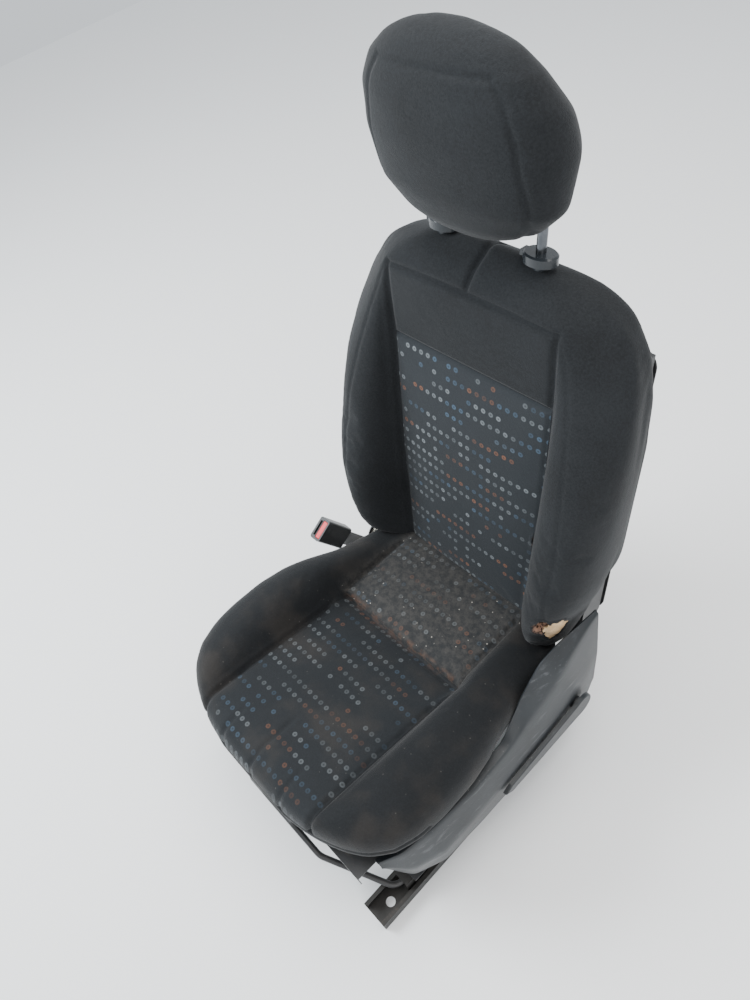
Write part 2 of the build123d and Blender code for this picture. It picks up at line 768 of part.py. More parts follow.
def head_body(inset):
    """Egg-shaped headrest, wider above its middle, drawn in by inset all round."""
    half = head_half - inset
    low = head_bottom + inset
    high = head_top - inset
    waist = low + (high - low) * 0.52
    with BuildPart() as body:
        with BuildSketch(back_plane.offset(-head_rear - 10)):
            with BuildLine():
                chin = ThreePointArc((0, low), (half * 0.42, low + 3), (half * 0.74, low + 22))
                cheek = ThreePointArc(chin @ 1, (half * 0.94, low + 58), (half, waist))
                brow = ThreePointArc(cheek @ 1, (half * 0.93, high - 44), (half * 0.66, high - 12))
                ThreePointArc(brow @ 1, (half * 0.36, high - 2), (0, high))
                mirror(about=Plane.YZ)
            make_face()
        extrude(amount=head_rear + head_front + 20)
        with BuildSketch(back_side.offset(-200)):
            with BuildLine():
                front = -(head_front - inset)
                rear = head_rear - inset
                under = ThreePointArc((rear - 22, low), (6, low - 0.5 + inset * 0.2), (front + 34, low + 4))
                jaw = ThreePointArc(under @ 1, (front + 12, low + 18), (front + 3, low + 52))
                face = ThreePointArc(jaw @ 1, (front, low + 112), (front + 10, low + 168))
                top = ThreePointArc(face @ 1, (front + 34, high - 10), (front + 62, high))
                nape = ThreePointArc(top @ 1, (rear - 14, high - 24), (rear, low + 110))
                ThreePointArc(nape @ 1, (rear - 4, low + 40), under @ 0)
            make_face()
        extrude(amount=400, mode=Mode.INTERSECT)
        with BuildSketch(across_back.offset(head_bottom - 50)):
            with BuildLine():
                front = inset - head_front
                rear = head_rear - inset
                face = ThreePointArc((0, front), (half * 0.5, front + 4), (half * 0.82, front + 22))
                edge = ThreePointArc(face @ 1, (half * 0.96, front + 46), (half, -2))
                back = ThreePointArc(edge @ 1, (half * 0.86, rear - 12), (half * 0.5, rear))
                Line(back @ 1, (0, rear))
                mirror(about=Plane.YZ)
            make_face()
        extrude(amount=400, mode=Mode.INTERSECT)
    return body


head_outer = head_body(0)
head_inner = head_body(cover_t)

with BuildPart() as headrest_cover:
    add(head_outer.part)
    add(head_inner.part, mode=Mode.SUBTRACT)
    with BuildSketch(across_back.offset(head_bottom - 5)):
        with Locations((post_x, post_behind), (-post_x, post_behind)):
            Circle(post_r + 0.5)
    extrude(amount=40, mode=Mode.SUBTRACT)
save(headrest_cover, "headrest_cover")

with BuildPart() as headrest_foam:
    add(head_inner.part)
    with BuildSketch(posts_plane.offset(-core_half_t)):
        with Locations((0, (core_low + core_high) / 2)):
            RectangleRounded(2 * core_half, core_high - core_low, core_corner)
    extrude(amount=2 * core_half_t, mode=Mode.SUBTRACT)
    with BuildSketch(across_back.offset(head_bottom - 5)):
        with Locations((post_x, post_behind), (-post_x, post_behind)):
            Circle(post_r + 0.5)
    extrude(amount=core_low - head_bottom + 6, mode=Mode.SUBTRACT)
save(headrest_foam, "headrest_foam")

# ---- side shield --------------------------------------------------------------------------------

# each section across the seat: y, then upper edge, ridge, shoulder and lower edge as (x, z)
shield_sections = (
    (-182, (203, 214), (211, 217), (216, 208), (212, 198)),
    (-150, (208, 206), (226, 212), (240, 165), (231, 112)),
    (-100, (216, 217), (237, 220), (256, 160), (249, 104)),
    (-20, (230, 226), (245, 224), (258, 170), (252, 103)),
    (60, (230, 236), (246, 235), (258, 176), (252, 102)),
    (120, (223, 288), (245, 252), (258, 180), (252, 99)),
    (160, (222, 322), (246, 274), (257, 186), (252, 97)),
    (200, (226, 338), (246, 316), (255, 200), (252, 98)),
    (240, (234, 350), (244, 340), (252, 215), (249, 108)),
    (270, (239, 356), (243, 350), (247, 240), (245, 150)),
)
lever_hole_r = 12.0

with BuildPart() as side_shield:
    for y, upper, ridge, shoulder, lower in shield_sections:
        with BuildSketch(Plane.XZ.offset(-y)):
            with BuildLine():
                Polyline(
                    upper,
                    ridge,
                    shoulder,
                    lower,
                    (lower[0] - shield_t, lower[1]),
                    (shoulder[0] - shield_t, shoulder[1]),
                    (ridge[0] - shield_t, ridge[1] - shield_t),
                    (upper[0], upper[1] - shield_t),
                    close=True,
                )
            make_face()
    loft(ruled=True)
    with Locations(Location((lever_x - 12, lever_hub_y, lever_hub_z), (0, 90, 0))):
        Cylinder(lever_hole_r, 30, mode=Mode.SUBTRACT)
save(side_shield, "side_shield")

with BuildPart() as shield_clips:
    for y, z in ((-20, 150), (115, 140)):
        with BuildSketch(Plane.YZ.offset(side_outer)):
            with Locations((y, z)):
                Circle(6)
        extrude(amount=28)
save(shield_clips, "shield_clips")

# ---- recline lever, link and release shaft ------------------------------------------------------

hub = Vector(0, lever_hub_y, lever_hub_z)
to_hinge = hinge - hub
arm = Vector(0, -to_hinge.Z, to_hinge.Y).normalized() * link_arm      # same on both cranks
crank_pin_r = 3.0
stud_r = 5.0
crank_t = 3.0
shaft_r = 6.0
shaft_crank_x = side_outer + 1.5
lever_crank_x = link_x + link_t + 1.0
lever_inner_x = 241.0
open_pivot_gap = 0.6


def arm_plate(x, centre, boss_r, bore_r, tip_r):
    """Flat crank from a pivot to its link pin."""
    tip = centre + arm
    with BuildPart() as plate:
        with BuildSketch(Plane.YZ.offset(x)):
            with BuildLine():
                Line((centre.Y, centre.Z), (tip.Y, tip.Z))
            trace(line_width=2 * tip_r)
            with Locations((centre.Y, centre.Z)):
                Circle(boss_r)
            with Locations((tip.Y, tip.Z)):
                Circle(tip_r)
            with Locations((centre.Y, centre.Z)):
                Circle(bore_r, mode=Mode.SUBTRACT)
        extrude(amount=crank_t)
    return plate.part


def midway(x0, x1, centre):
    """Place for a cylinder along X from x0 to x1."""
    return Location(((x0 + x1) / 2, centre.Y, centre.Z), (0, 90, 0))


with BuildPart() as lever_stud:
    with Locations(midway(side_outer, lever_inner_x + 6, hub)):
        Cylinder(stud_r, lever_inner_x + 6 - side_outer)
save(lever_stud, "lever_stud")

lever_crank_plate = arm_plate(lever_crank_x, hub, 9, stud_r + pin_gap, 6)
with BuildPart() as lever_crank:
    add(lever_crank_plate)
    with Locations(midway(side_outer + 1, lever_inner_x, hub)):
        Cylinder(9, lever_inner_x - (side_outer + 1))
    with Locations(midway(side_outer, lever_inner_x + 1, hub)):
        Cylinder(stud_r + pin_gap, lever_inner_x + 1 - side_outer, mode=Mode.SUBTRACT)
    with Locations(midway(link_x - 1, lever_crank_x, hub + arm)):
        Cylinder(crank_pin_r, lever_crank_x - (link_x - 1))
save(lever_crank, "lever_crank")

shaft_crank_plate = arm_plate(shaft_crank_x, hinge, 10, shaft_r - 1, 6)
with BuildPart() as release_shaft:
    add(shaft_crank_plate)
    with Locations(midway(-(side_outer + 4), shaft_crank_x + crank_t, hinge)):
        Cylinder(shaft_r, shaft_crank_x + crank_t - (-(side_outer + 4)))
    with Locations(midway(shaft_crank_x + crank_t, link_x + link_t + 0.5, hinge + arm)):
        Cylinder(crank_pin_r, link_x + link_t + 0.5 - (shaft_crank_x + crank_t))
save(release_shaft, "release_shaft")

pin_a = hub + arm
pin_b = hinge + arm
with BuildPart() as release_link:
    with BuildSketch(Plane.YZ.offset(link_x)):
        with BuildLine():
            Line((pin_a.Y, pin_a.Z), (pin_b.Y, pin_b.Z))
        trace(line_width=12)
        with Locations((pin_a.Y, pin_a.Z), (pin_b.Y, pin_b.Z)):
            Circle(6)
        with Locations((pin_a.Y, pin_a.Z)):
            Circle(crank_pin_r + pin_gap, mode=Mode.SUBTRACT)
        with Locations((pin_b.Y, pin_b.Z)):
            Circle(crank_pin_r + open_pivot_gap, mode=Mode.SUBTRACT)
    extrude(amount=link_t)
save(release_link, "release_link")

lever_grip_x = 259.5
lever_t = 7.0
with BuildPart() as recline_lever:
    with BuildSketch(Plane.YZ.offset(lever_grip_x)):
        with Locations((lever_hub_y, lever_hub_z)):
            Circle(lever_hub_r)
        with BuildLine():
            Polyline(
                (lever_hub_y, lever_hub_z + lever_hub_r - 1),
                (lever_hub_y - lever_length, lever_hub_z + 2),
                (lever_hub_y - lever_length - 14, lever_hub_z - 10),
                (lever_hub_y - lever_length, lever_hub_z - 22),
                (lever_hub_y, lever_hub_z - lever_hub_r + 1),
                close=True,
            )
        make_face()
    extrude(amount=lever_t)
    fillet(recline_lever.faces().sort_by(Axis.X)[-1].edges(), 2.5)
    with Locations(midway(lever_inner_x, lever_grip_x, hub)):
        Cylinder(lever_hole_r - 1, lever_grip_x - lever_inner_x)
    with Locations(midway(lever_inner_x - 1, lever_inner_x + 6.5, hub)):
        Cylinder(stud_r + pin_gap, lever_inner_x + 6.5 - (lever_inner_x - 1), mode=Mode.SUBTRACT)
save(recline_lever, "recline_lever")

# ---- buckle on the tunnel side ------------------------------------------------------------------

tilt = radians(buckle_tilt)
anchor = Vector(buckle_x, buckle_anchor_y, buckle_anchor_z)
up_stalk = Vector(0, -sin(tilt), cos(tilt))
across_stalk = Vector(0, cos(tilt), sin(tilt))
stalk_side = Plane(origin=anchor, x_dir=across_stalk, z_dir=(1, 0, 0))       # rearward, along the stalk
stalk_end = Plane(origin=anchor, x_dir=(1, 0, 0), z_dir=up_stalk)            # x, rearward; normal along stalk
bolt_r = 5.0

with BuildPart() as buckle_strap:
    with BuildSketch(stalk_side.offset(-strap_t / 2)):
        with Locations((0, 45)):
            Rectangle(strap_w, 90)
        Circle(strap_w / 2)
        Circle(bolt_r + pin_gap, mode=Mode.SUBTRACT)
        with Locations((0, 80)):
            Circle(4, mode=Mode.SUBTRACT)
    extrude(amount=strap_t)
save(buckle_strap, "buckle_strap")

with BuildPart() as buckle_spacer:
    with BuildSketch(stalk_side.offset(strap_t / 2 + run_gap)):
        Circle(11)
        Circle(bolt_r, mode=Mode.SUBTRACT)
    extrude(amount=-buckle_x - strap_t / 2 - run_gap - side_outer)
save(buckle_spacer, "buckle_spacer")

with BuildPart() as buckle_bolt:
    with BuildSketch(stalk_side.offset(-strap_t / 2 - run_gap)):
        RegularPolygon(9.5, 6)
    extrude(amount=-7)
    with BuildSketch(stalk_side.offset(-strap_t / 2 - run_gap)):
        Circle(bolt_r)
    extrude(amount=-buckle_x + strap_t / 2 + run_gap - side_outer)
save(buckle_bolt, "buckle_bolt")

slot_t = 4.5
slot_w = 30.0
slot_side = -5.5            # tongue slot, off the buckle's middle
button_side = 3.5
button_t = 10.0
button_w = 34.0
button_recess = 14.0
with BuildPart() as buckle_body:
    with BuildSketch(stalk_end.offset(buckle_base)):
        RectangleRounded(buckle_t, buckle_w, 5)
    extrude(amount=buckle_end - buckle_base)
    fillet(buckle_body.faces().sort_by(Axis(origin=(0, 0, 0), direction=up_stalk))[0].edges(), 4)
    with BuildSketch(stalk_end.offset(buckle_end)):
        with Locations((slot_side, 0)):
            Rectangle(slot_t, slot_w)
    extrude(amount=-48, mode=Mode.SUBTRACT)
    with BuildSketch(stalk_end.offset(buckle_end)):
        with Locations((button_side, 0)):
            Rectangle(button_t + 0.6, button_w + 0.6)
    extrude(amount=-button_recess, mode=Mode.SUBTRACT)
    add(buckle_strap.part, mode=Mode.SUBTRACT)
save(buckle_body, "buckle_body")

with BuildPart() as buckle_button:
    with BuildSketch(stalk_end.offset(buckle_end - button_recess + press_travel + 0.5)):
        with Locations((button_side, 0)):
            RectangleRounded(button_t, button_w, 2)
    extrude(amount=button_recess - press_travel - 1.0)
    top_edges = buckle_button.faces().sort_by(Axis(origin=(0, 0, 0), direction=up_stalk))[-1].edges()
    fillet(top_edges, 1.0)
save(buckle_button, "buckle_button")
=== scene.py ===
import json
import math

import bpy
import numpy as np
from mathutils import Matrix, Vector, noise


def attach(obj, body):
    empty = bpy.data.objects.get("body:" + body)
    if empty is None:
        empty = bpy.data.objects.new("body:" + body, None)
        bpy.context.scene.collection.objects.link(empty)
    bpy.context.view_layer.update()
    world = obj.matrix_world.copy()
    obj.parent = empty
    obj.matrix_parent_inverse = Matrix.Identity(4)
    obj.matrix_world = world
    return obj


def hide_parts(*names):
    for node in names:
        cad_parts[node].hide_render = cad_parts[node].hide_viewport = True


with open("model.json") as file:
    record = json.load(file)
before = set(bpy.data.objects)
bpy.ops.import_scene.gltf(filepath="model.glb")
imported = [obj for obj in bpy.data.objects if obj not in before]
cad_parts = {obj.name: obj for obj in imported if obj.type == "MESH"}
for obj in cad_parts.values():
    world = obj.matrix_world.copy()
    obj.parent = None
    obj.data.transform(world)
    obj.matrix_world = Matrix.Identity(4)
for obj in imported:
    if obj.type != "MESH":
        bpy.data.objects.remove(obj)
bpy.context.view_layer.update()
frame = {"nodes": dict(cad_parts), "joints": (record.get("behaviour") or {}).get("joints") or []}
bpy.ops.object.select_all(action="DESELECT")
print("frame loaded,", len(frame["nodes"]), "nodes")

mm = 0.001
joints = {j["name"]: j for j in frame["joints"]}
hinge = np.array(joints["backrest_recline"]["pos_m"])
upBack = np.array(joints["headrest_height"]["axis"])
outFront = np.array([0, -upBack[2], upBack[1]])
lean = math.atan2(upBack[1], upBack[2])


def getPoints(piece):
    flat = np.empty(len(piece.data.vertices) * 3)
    piece.data.vertices.foreach_get("co", flat)
    return flat.reshape(-1, 3)


def setPoints(piece, points):
    piece.data.vertices.foreach_set("co", points.astype(np.float32).ravel())
    piece.data.update()


def getNormals(piece):
    flat = np.empty(len(piece.data.vertices) * 3)
    piece.data.vertices.foreach_get("normal", flat)
    return flat.reshape(-1, 3)


def pushOut(piece, amount):
    # moves each point along its normal
    setPoints(piece, getPoints(piece) + getNormals(piece) * amount[:, None])


def pick(piece):
    bpy.ops.object.select_all(action="DESELECT")
    piece.select_set(True)
    bpy.context.view_layer.objects.active = piece


def applyAll(piece):
    pick(piece)
    for modifier in list(piece.modifiers):
        bpy.ops.object.modifier_apply(modifier=modifier.name)


def fromBack(across, upward, forward):
    # across the seat, up the backrest and forward of the hinge line, in metres, to the row frame
    across, upward, forward = np.broadcast_arrays(across, upward, forward)
    sideways = np.stack([across, across * 0, across * 0], -1)
    return hinge + sideways + upward[..., None] * upBack + forward[..., None] * outFront


def toBack(points):
    fromHinge = points - hinge
    return points[:, 0], fromHinge @ upBack, fromHinge @ outFront


def profile(stops, blur=12):
    # a smooth curve through (place, value) stops in millimetres
    places, values = np.array(stops, float).T
    fine = np.arange(places[0] - 3 * blur, places[-1] + 3 * blur + 1)
    kernel = np.hanning(2 * blur + 1)
    padded = np.pad(np.interp(fine, places, values), blur, mode="edge")
    curve = np.convolve(padded, kernel / kernel.sum(), mode="valid")
    return lambda at: np.interp(np.asarray(at) / mm, fine, curve) * mm


def smoothStep(value, low, high):
    share = np.clip((value - low) / (high - low), 0, 1)
    return share * share * (3 - 2 * share)


def roll(points, size, amount, seed=0.0):
    # slow waves over a surface, the same on each run
    shift = Vector((seed, seed * 0.7, -seed))
    return np.array([noise.noise(Vector(p) / size + shift) for p in points]) * amount


class Thread:
    # one output of a material's nodes; sums on it add Math nodes
    def __init__(self, finish, socket):
        self.finish, self.socket = finish, socket

    def sum(self, kind, *others):
        return self.finish.node("Math", {"operation": kind}, [self, *others])

    def __add__(self, other):
        return self.sum("ADD", other)

    def __sub__(self, other):
        return self.sum("SUBTRACT", other)

    def __rsub__(self, other):
        return self.finish.node("Math", {"operation": "SUBTRACT"}, [other, self])

    def __mul__(self, other):
        return self.sum("MULTIPLY", other)

    def __truediv__(self, other):
        return self.sum("DIVIDE", other)

    def __lt__(self, other):
        return self.sum("LESS_THAN", other)

    def __gt__(self, other):
        return self.sum("GREATER_THAN", other)

    def __abs__(self):
        return self.sum("ABSOLUTE")

    __radd__ = __add__
    __rmul__ = __mul__

    def floor(self):
        return self.sum("FLOOR")

    def ramp(self, low, high, start=0.0, end=1.0):
        values = [self, low, high, start, end]
        return self.finish.node("MapRange", {"interpolation_type": "SMOOTHSTEP"}, values)


class Finish:
    # a procedural material; plain values go straight on the shader's sockets
    def __init__(self, name, **plain):
        self.material = bpy.data.materials.new(name)
        self.material.use_nodes = True
        self.tree = self.material.node_tree
        self.shader = self.tree.nodes["Principled BSDF"]
        for socket, value in plain.items():
            self.shader.inputs[spaced(socket)].default_value = value
        self.place = self.node("TexCoord", out="Object")

    def node(self, kind, settings={}, values=(), out=0):
        made = self.tree.nodes.new("ShaderNode" + kind)
        for setting, value in settings.items():
            setattr(made, setting, value)
        for socket, value in values.items() if isinstance(values, dict) else enumerate(values):
            self.feed(made.inputs[socket], value)
        return Thread(self, made.outputs[out])

    def feed(self, socket, value):
        if isinstance(value, Thread):
            self.tree.links.new(value.socket, socket)
        else:
            socket.default_value = value

    def wire(self, **sockets):
        for socket, value in sockets.items():
            self.feed(self.shader.inputs[spaced(socket)], value)

    def turned(self, rotation=(0, 0, 0), scale=(1, 1, 1)):
        return self.node("Mapping", {}, {"Vector": self.place, "Rotation": rotation, "Scale": scale})

    def axes(self, vector=None):
        made = self.node("SeparateXYZ", {}, [vector or self.place])
        return [Thread(self, output) for output in made.socket.node.outputs]

    def vector(self, x, y, z):
        return self.node("CombineXYZ", {}, [x, y, z])

    def noise(self, scale, detail=3.0, roughness=0.55, at=None):
        values = {"Vector": at or self.place, "Scale": scale, "Detail": detail, "Roughness": roughness}
        return self.node("TexNoise", {}, values)

    def cells(self, scale, settings={}):
        return self.node("TexVoronoi", settings, {"Vector": self.place, "Scale": scale}, "Distance")

    def chance(self, at):
        return self.node("TexWhiteNoise", {}, {"Vector": at}, "Value")

    def mix(self, share, first, second):
        return self.node("Mix", {"data_type": "RGBA"}, {0: share, 6: first, 7: second}, 2)

    def bump(self, height, distance, strength=1.0, over=None):
        values = {"Height": height, "Distance": distance, "Strength": strength}
        if over:
            values["Normal"] = over
        return self.node("Bump", {}, values)


def spaced(name):
    # baseColor to Base Color, specularIor to Specular IOR
    words = "".join(" " + letter if letter.isupper() else letter for letter in name)
    return words.title().replace("Ior", "IOR")


def colour(red, green, blue):
    return (red, green, blue, 1.0)


# two knitted cloths: plain charcoal, and the dotted one of the middle panels
cloth = {
    "fibre": 0.0011,             # size of a knit loop
    "dark": colour(0.0045, 0.0052, 0.0062),
    "light": colour(0.0150, 0.0170, 0.0195),
    "panel": colour(0.034, 0.040, 0.046),
    "dust": colour(0.115, 0.104, 0.092),
    "dotAcross": 0.0130,         # pitch of the dots along a row
    "dotRows": 0.0200,           # pitch of the rows
    "dotRadius": 0.0042,
    "dotRim": 0.0009,            # width of a dot's soft edge
    "runLength": 3.2,            # dots in a run of one colour, on average
    "gaps": 0.36,                # a dot whose chance is under this is left out
    "pale": colour(0.240, 0.265, 0.280),
    "blue": colour(0.075, 0.130, 0.195),
    "rust": colour(0.230, 0.095, 0.050),
}


def knit(finish, tone=1.0):
    # base colour and height of the knit, before dots and dirt; a second argument under 1 darkens the knit as
    # painted shade
    loops = finish.cells(1 / cloth["fibre"])
    strands = finish.noise(1 / cloth["fibre"] / 2.4, 2.0)
    worn = finish.noise(9.0, 4.0)
    share = (strands * 0.9 + worn * 0.7 - 0.35 + loops * 0.25) * tone
    return finish.mix(share.ramp(0.1, 1.0), cloth["dark"], cloth["light"]), loops


def dots(finish, across, along, inside, base, glow):
    # rows of small rings in runs of one colour, with gaps; a last argument under 1 dims the dots as painted
    # shade
    column, row = (across / cloth["dotAcross"]).floor(), (along / cloth["dotRows"]).floor()
    besideX = (across / cloth["dotAcross"] - column - 0.5) * cloth["dotAcross"]
    besideY = (along / cloth["dotRows"] - row - 0.5) * cloth["dotRows"]
    reach = (besideX * besideX + besideY * besideY).sum("SQRT")
    ring = reach.ramp(cloth["dotRadius"], cloth["dotRadius"] - cloth["dotRim"])
    hollow = reach.ramp(0.0008, 0.0020, 0.35, 1.0)
    run = (column / cloth["runLength"] + finish.chance(finish.vector(row, 3.0, 0.0)) * 9).floor()
    tint = finish.chance(finish.vector(run, row, 1.0))
    single = finish.chance(finish.vector(column, row, 5.0))
    shown = (tint * 7.3 - (tint * 7.3).floor()) * 0.72 + single * 0.28 > cloth["gaps"]
    lint = finish.noise(1400.0, 1.0).ramp(0.30, 0.62)
    faded = finish.noise(14.0, 3.0).ramp(0.30, 0.62, 0.45, 1.0)
    mask = ring * hollow * shown * inside * (0.35 + 0.5 * single) * (0.45 + 0.55 * lint)
    mask = mask * faded * glow
    hue = finish.mix(tint.ramp(0.50, 0.52), cloth["pale"], cloth["blue"])
    hue = finish.mix(tint.ramp(0.78, 0.80), hue, cloth["rust"])
    return finish.mix(mask, base, hue), mask


def clothFinish(name, panel=None, dirt=None, tone=1.0, glow=1.0):
    # the last two arguments, under 1, darken this copy of the cloth, its knit, panel and dots alike: painted
    # shade
    finish = Finish(name, roughness=0.86, specularIorLevel=0.28, sheenWeight=0.10, sheenRoughness=0.40)
    base, height = knit(finish, tone)
    relief = 0.5 - height
    if panel:
        across, along, inside = panel(finish)
        base = finish.mix(inside * (0.45 * glow), base, cloth["panel"])
        base, mask = dots(finish, across, along, inside, base, glow)
        relief = relief + mask * 1.2
    if dirt:
        base = dirt(finish, base)
    pills = finish.cells(240.0).ramp(0.10, 0.02) * finish.noise(30.0).ramp(0.52, 0.62)
    normal = finish.bump(relief + pills * 1.4, 0.00035, 0.75)
    normal = finish.bump(finish.noise(70.0, 3.0), 0.0012, 0.35, normal)
    finish.wire(baseColor=base, normal=normal)
    return finish.material


def backPanel(finish):
    # the backrest's dotted panel: below the cross seam, between the side seams, on the front
    leaning = finish.turned(rotation=(lean, 0, 0))
    shift = Matrix.Rotation(lean, 3, "X") @ Vector(hinge)
    across, rearward, upward = finish.axes(leaning)
    upward = upward - shift.z
    forward = shift.y - rearward
    half = upward.ramp(0.060, 0.300, 0.1285, 0.1350)
    inside = (abs(across) < half) * (upward < 0.4805) * (forward > -0.030)
    return across, upward, inside


def seatPanel(finish):
    # the cushion's dotted panel, over the front edge down to the skirt's seam
    half, front, rear, seam, skirt = 0.1285, -0.215, 0.230, 0.262, 0.22
    across, rearward, upward = finish.axes()
    above = (abs(across) < half) * (upward > seam) * (rearward < rear)
    behind = (abs(across) < half) * (rearward > front) * (upward > skirt)
    return across, rearward, above + behind - above * (rearward > front)


print("materials: cloth ready")


def startBlock(name, cuts):
    # a cube two units wide, cut into small squares; its corners give the place on the pad
    bpy.ops.object.select_all(action="DESELECT")
    bpy.ops.mesh.primitive_cube_add(size=2)
    block = bpy.context.active_object
    block.name = name
    bpy.ops.object.mode_set(mode="EDIT")
    bpy.ops.mesh.select_all(action="SELECT")
    bpy.ops.mesh.subdivide(number_cuts=cuts)
    bpy.ops.object.mode_set(mode="OBJECT")
    return block


def roundSection(sideways, outward, powerSide, powerOut):
    # pulls a square section's corners in to a rounded one
    rim = np.maximum(np.maximum(abs(sideways), abs(outward)), 1e-6)
    s, o = sideways / rim, outward / rim
    low, high = np.zeros_like(rim), np.ones_like(rim)
    for _ in range(30):
        middle = (low + high) / 2
        outside = abs(s * middle) ** powerSide + abs(o * middle) ** powerOut > 1
        high, low = np.where(outside, middle, high), np.where(outside, low, middle)
    return s * low * rim, o * low * rim


def remesh(piece, size):
    voxels = piece.modifiers.new("voxels", "REMESH")
    voxels.mode = "VOXEL"
    voxels.voxel_size = size
    applyAll(piece)


def inflate(pad, held, cap, pressure=4.0, frames=20):
    # fills the pad by cloth simulation; held is how firmly each point stays, 0 to 1
    rest = getPoints(pad)
    group = pad.vertex_groups.new(name="held")
    for level in np.unique(np.round(held, 1)):
        members = np.flatnonzero(np.round(held, 1) == level)
        if level > 0:
            group.add(members.tolist(), float(level), "REPLACE")
    filling = pad.modifiers.new("filling", "CLOTH")
    filling.settings.quality = 4
    filling.settings.use_pressure = True
    filling.settings.uniform_pressure_force = pressure
    filling.settings.vertex_group_mass = "held"
    filling.settings.effector_weights.gravity = 0
    filling.point_cache.frame_start, filling.point_cache.frame_end = 1, frames
    scene = bpy.context.scene
    for step in range(1, frames + 1):
        scene.frame_set(step)
    evaluated = pad.evaluated_get(bpy.context.evaluated_depsgraph_get())
    filled = getPoints(evaluated)
    pad.modifiers.remove(filling)
    pad.vertex_groups.remove(group)
    scene.frame_set(1)
    moved = filled - rest
    length = np.linalg.norm(moved, axis=1, keepdims=True)
    limit = cap * np.tanh(length / cap)
    setPoints(pad, rest + moved * (limit / np.maximum(length, 1e-9)))
    print(f"  {pad.name}: {len(rest)} points, filled by up to {length.max() / mm:.0f} mm")


def refine(pad):
    finer = pad.modifiers.new("finer", "SUBSURF")
    finer.levels = finer.render_levels = 1
    applyAll(pad)
    pick(pad)
    bpy.ops.object.shade_smooth()


def dress(pad, material, body, stands):
    pad.data.materials.clear()
    pad.data.materials.append(material)
    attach(pad, body)
    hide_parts(*stands)


def ridge(distance, width):
    return np.exp(-(distance / width) ** 2)


headrest = {
    "voxel": 5.0,
    "halfWidth": ((668, 20), (673, 52), (690, 92), (722, 124), (777, 134), (820, 127), (850, 106),
                  (870, 80), (882, 50), (887, 16)),
    "face": ((668, 14), (673, 30), (690, 48), (722, 64), (777, 77), (820, 82), (850, 80), (870, 73),
             (882, 60), (887, 44)),
    "back": ((668, -10), (673, -22), (690, -34), (740, -38), (790, -38), (812, -28), (840, -6),
             (870, 16), (887, 40)),
    "power": (2.4, 2.3),
    "seam": ((664, 40), (680, 74), (700, 97), (729, 107), (797, 99), (832, 88), (850, 72)),
    "seamTop": 850.0,
    "swell": 0.006,              # the most that the filling moves a point, in metres
    "groove": (0.0034, 0.0019),  # width and depth of a seam's groove, in metres
    "fill": 0.75,
}


def headSeam(across, upward, forward):
    # the seam that rings the headrest's front panel
    line = profile(headrest["seam"], 6)(upward)
    outside = np.maximum(abs(across) - line, upward - headrest["seamTop"] * mm)
    return np.where(forward > 0.004, abs(outside), 1.0)


def makeHeadrest():
    pad = startBlock("headrestPad", 36)
    a, b, c = getPoints(pad).T
    side, out = roundSection(a, c, *headrest["power"])
    low, high = headrest["face"][0][0] * mm, headrest["face"][-1][0] * mm
    upward = (low + high) / 2 - np.cos((b + 1) * math.pi / 2) * (high - low) / 2
    half = profile(headrest["halfWidth"], 5)(upward)
    face, back = profile(headrest["face"], 5)(upward), profile(headrest["back"], 5)(upward)
    middle = (face + back) / 2
    forward = middle + np.where(out > 0, out * (face - middle), -out * (back - middle))
    setPoints(pad, fromBack(side * half, upward, forward))
    remesh(pad, headrest["voxel"] * mm)
    across, upward, forward = toBack(getPoints(pad))
    seam = ridge(headSeam(across, upward, forward), 0.008)
    inflate(pad, np.maximum(seam, smoothStep(low + 0.030 - upward, 0, 0.02)),
            headrest["swell"])
    refine(pad)
    across, upward, forward = toBack(getPoints(pad))
    width, depth = headrest["groove"]
    groove = ridge(headSeam(across, upward, forward), width) * depth
    pushOut(pad, -groove)
    return pad


backrest = {
    "voxel": 6.0,
    "halfWidth": ((46, 196), (56, 206), (76, 216), (150, 228), (240, 240), (430, 239), (500, 233), (552, 220),
                  (595, 190), (618, 154), (632, 98), (640, 40)),
    "crest": ((46, 20), (56, 42), (76, 66), (110, 84), (156, 95), (224, 95), (293, 86), (373, 69), (459, 46),
              (540, 25), (594, 20), (620, 4), (640, -24)),
    "crestLine": ((46, 182), (150, 206), (300, 205), (380, 196), (460, 181), (520, 166), (560, 152),
                  (594, 138), (640, 90)),
    "panel": ((46, 2), (56, 6), (200, 8), (480, 13), (560, 21), (594, 23), (620, 5), (640, -24)),
    "fall": ((46, 0), (380, 0), (440, 10), (500, 34), (560, 52), (600, 50), (640, 20)),
    "rear": ((46, -80), (560, -82), (600, -80), (622, -68), (640, -28)),
    "panelHalf": ((46, 128.5), (300, 135), (594, 136.5)),
    "panelTop": 594.0,
    "crossSeam": 480.5,
    "middle": -30.0,
    "power": (7.0, 4.6),
    "rearPower": (7.0, 7.0),
    "doorTrim": 11.0,            # narrower by this much low on the door side, beside the shield
    "swell": 0.012,
    "groove": (0.0042, 0.0050),
    "crestGroove": (0.0032, 0.0014),
    "fill": 0.7,
}


def backSurface(across, upward):
    # how far forward the front of the backrest stands
    half = profile(backrest["halfWidth"])(upward)
    inner = profile(backrest["panelHalf"], 20)(upward)
    crestLine = profile(backrest["crestLine"], 20)(upward)
    rise = np.clip((abs(across) - inner) / np.maximum(crestLine - inner, 0.012), 0, 1)
    past = np.clip((abs(across) - crestLine) / np.maximum(half - crestLine, 0.012), 0, 1.2)
    crest, panel = profile(backrest["crest"])(upward), profile(backrest["panel"])(upward)
    surface = panel + (crest - panel) * np.sin(rise * math.pi / 2) ** 1.15
    return surface - profile(backrest["fall"])(upward) * past ** 1.4


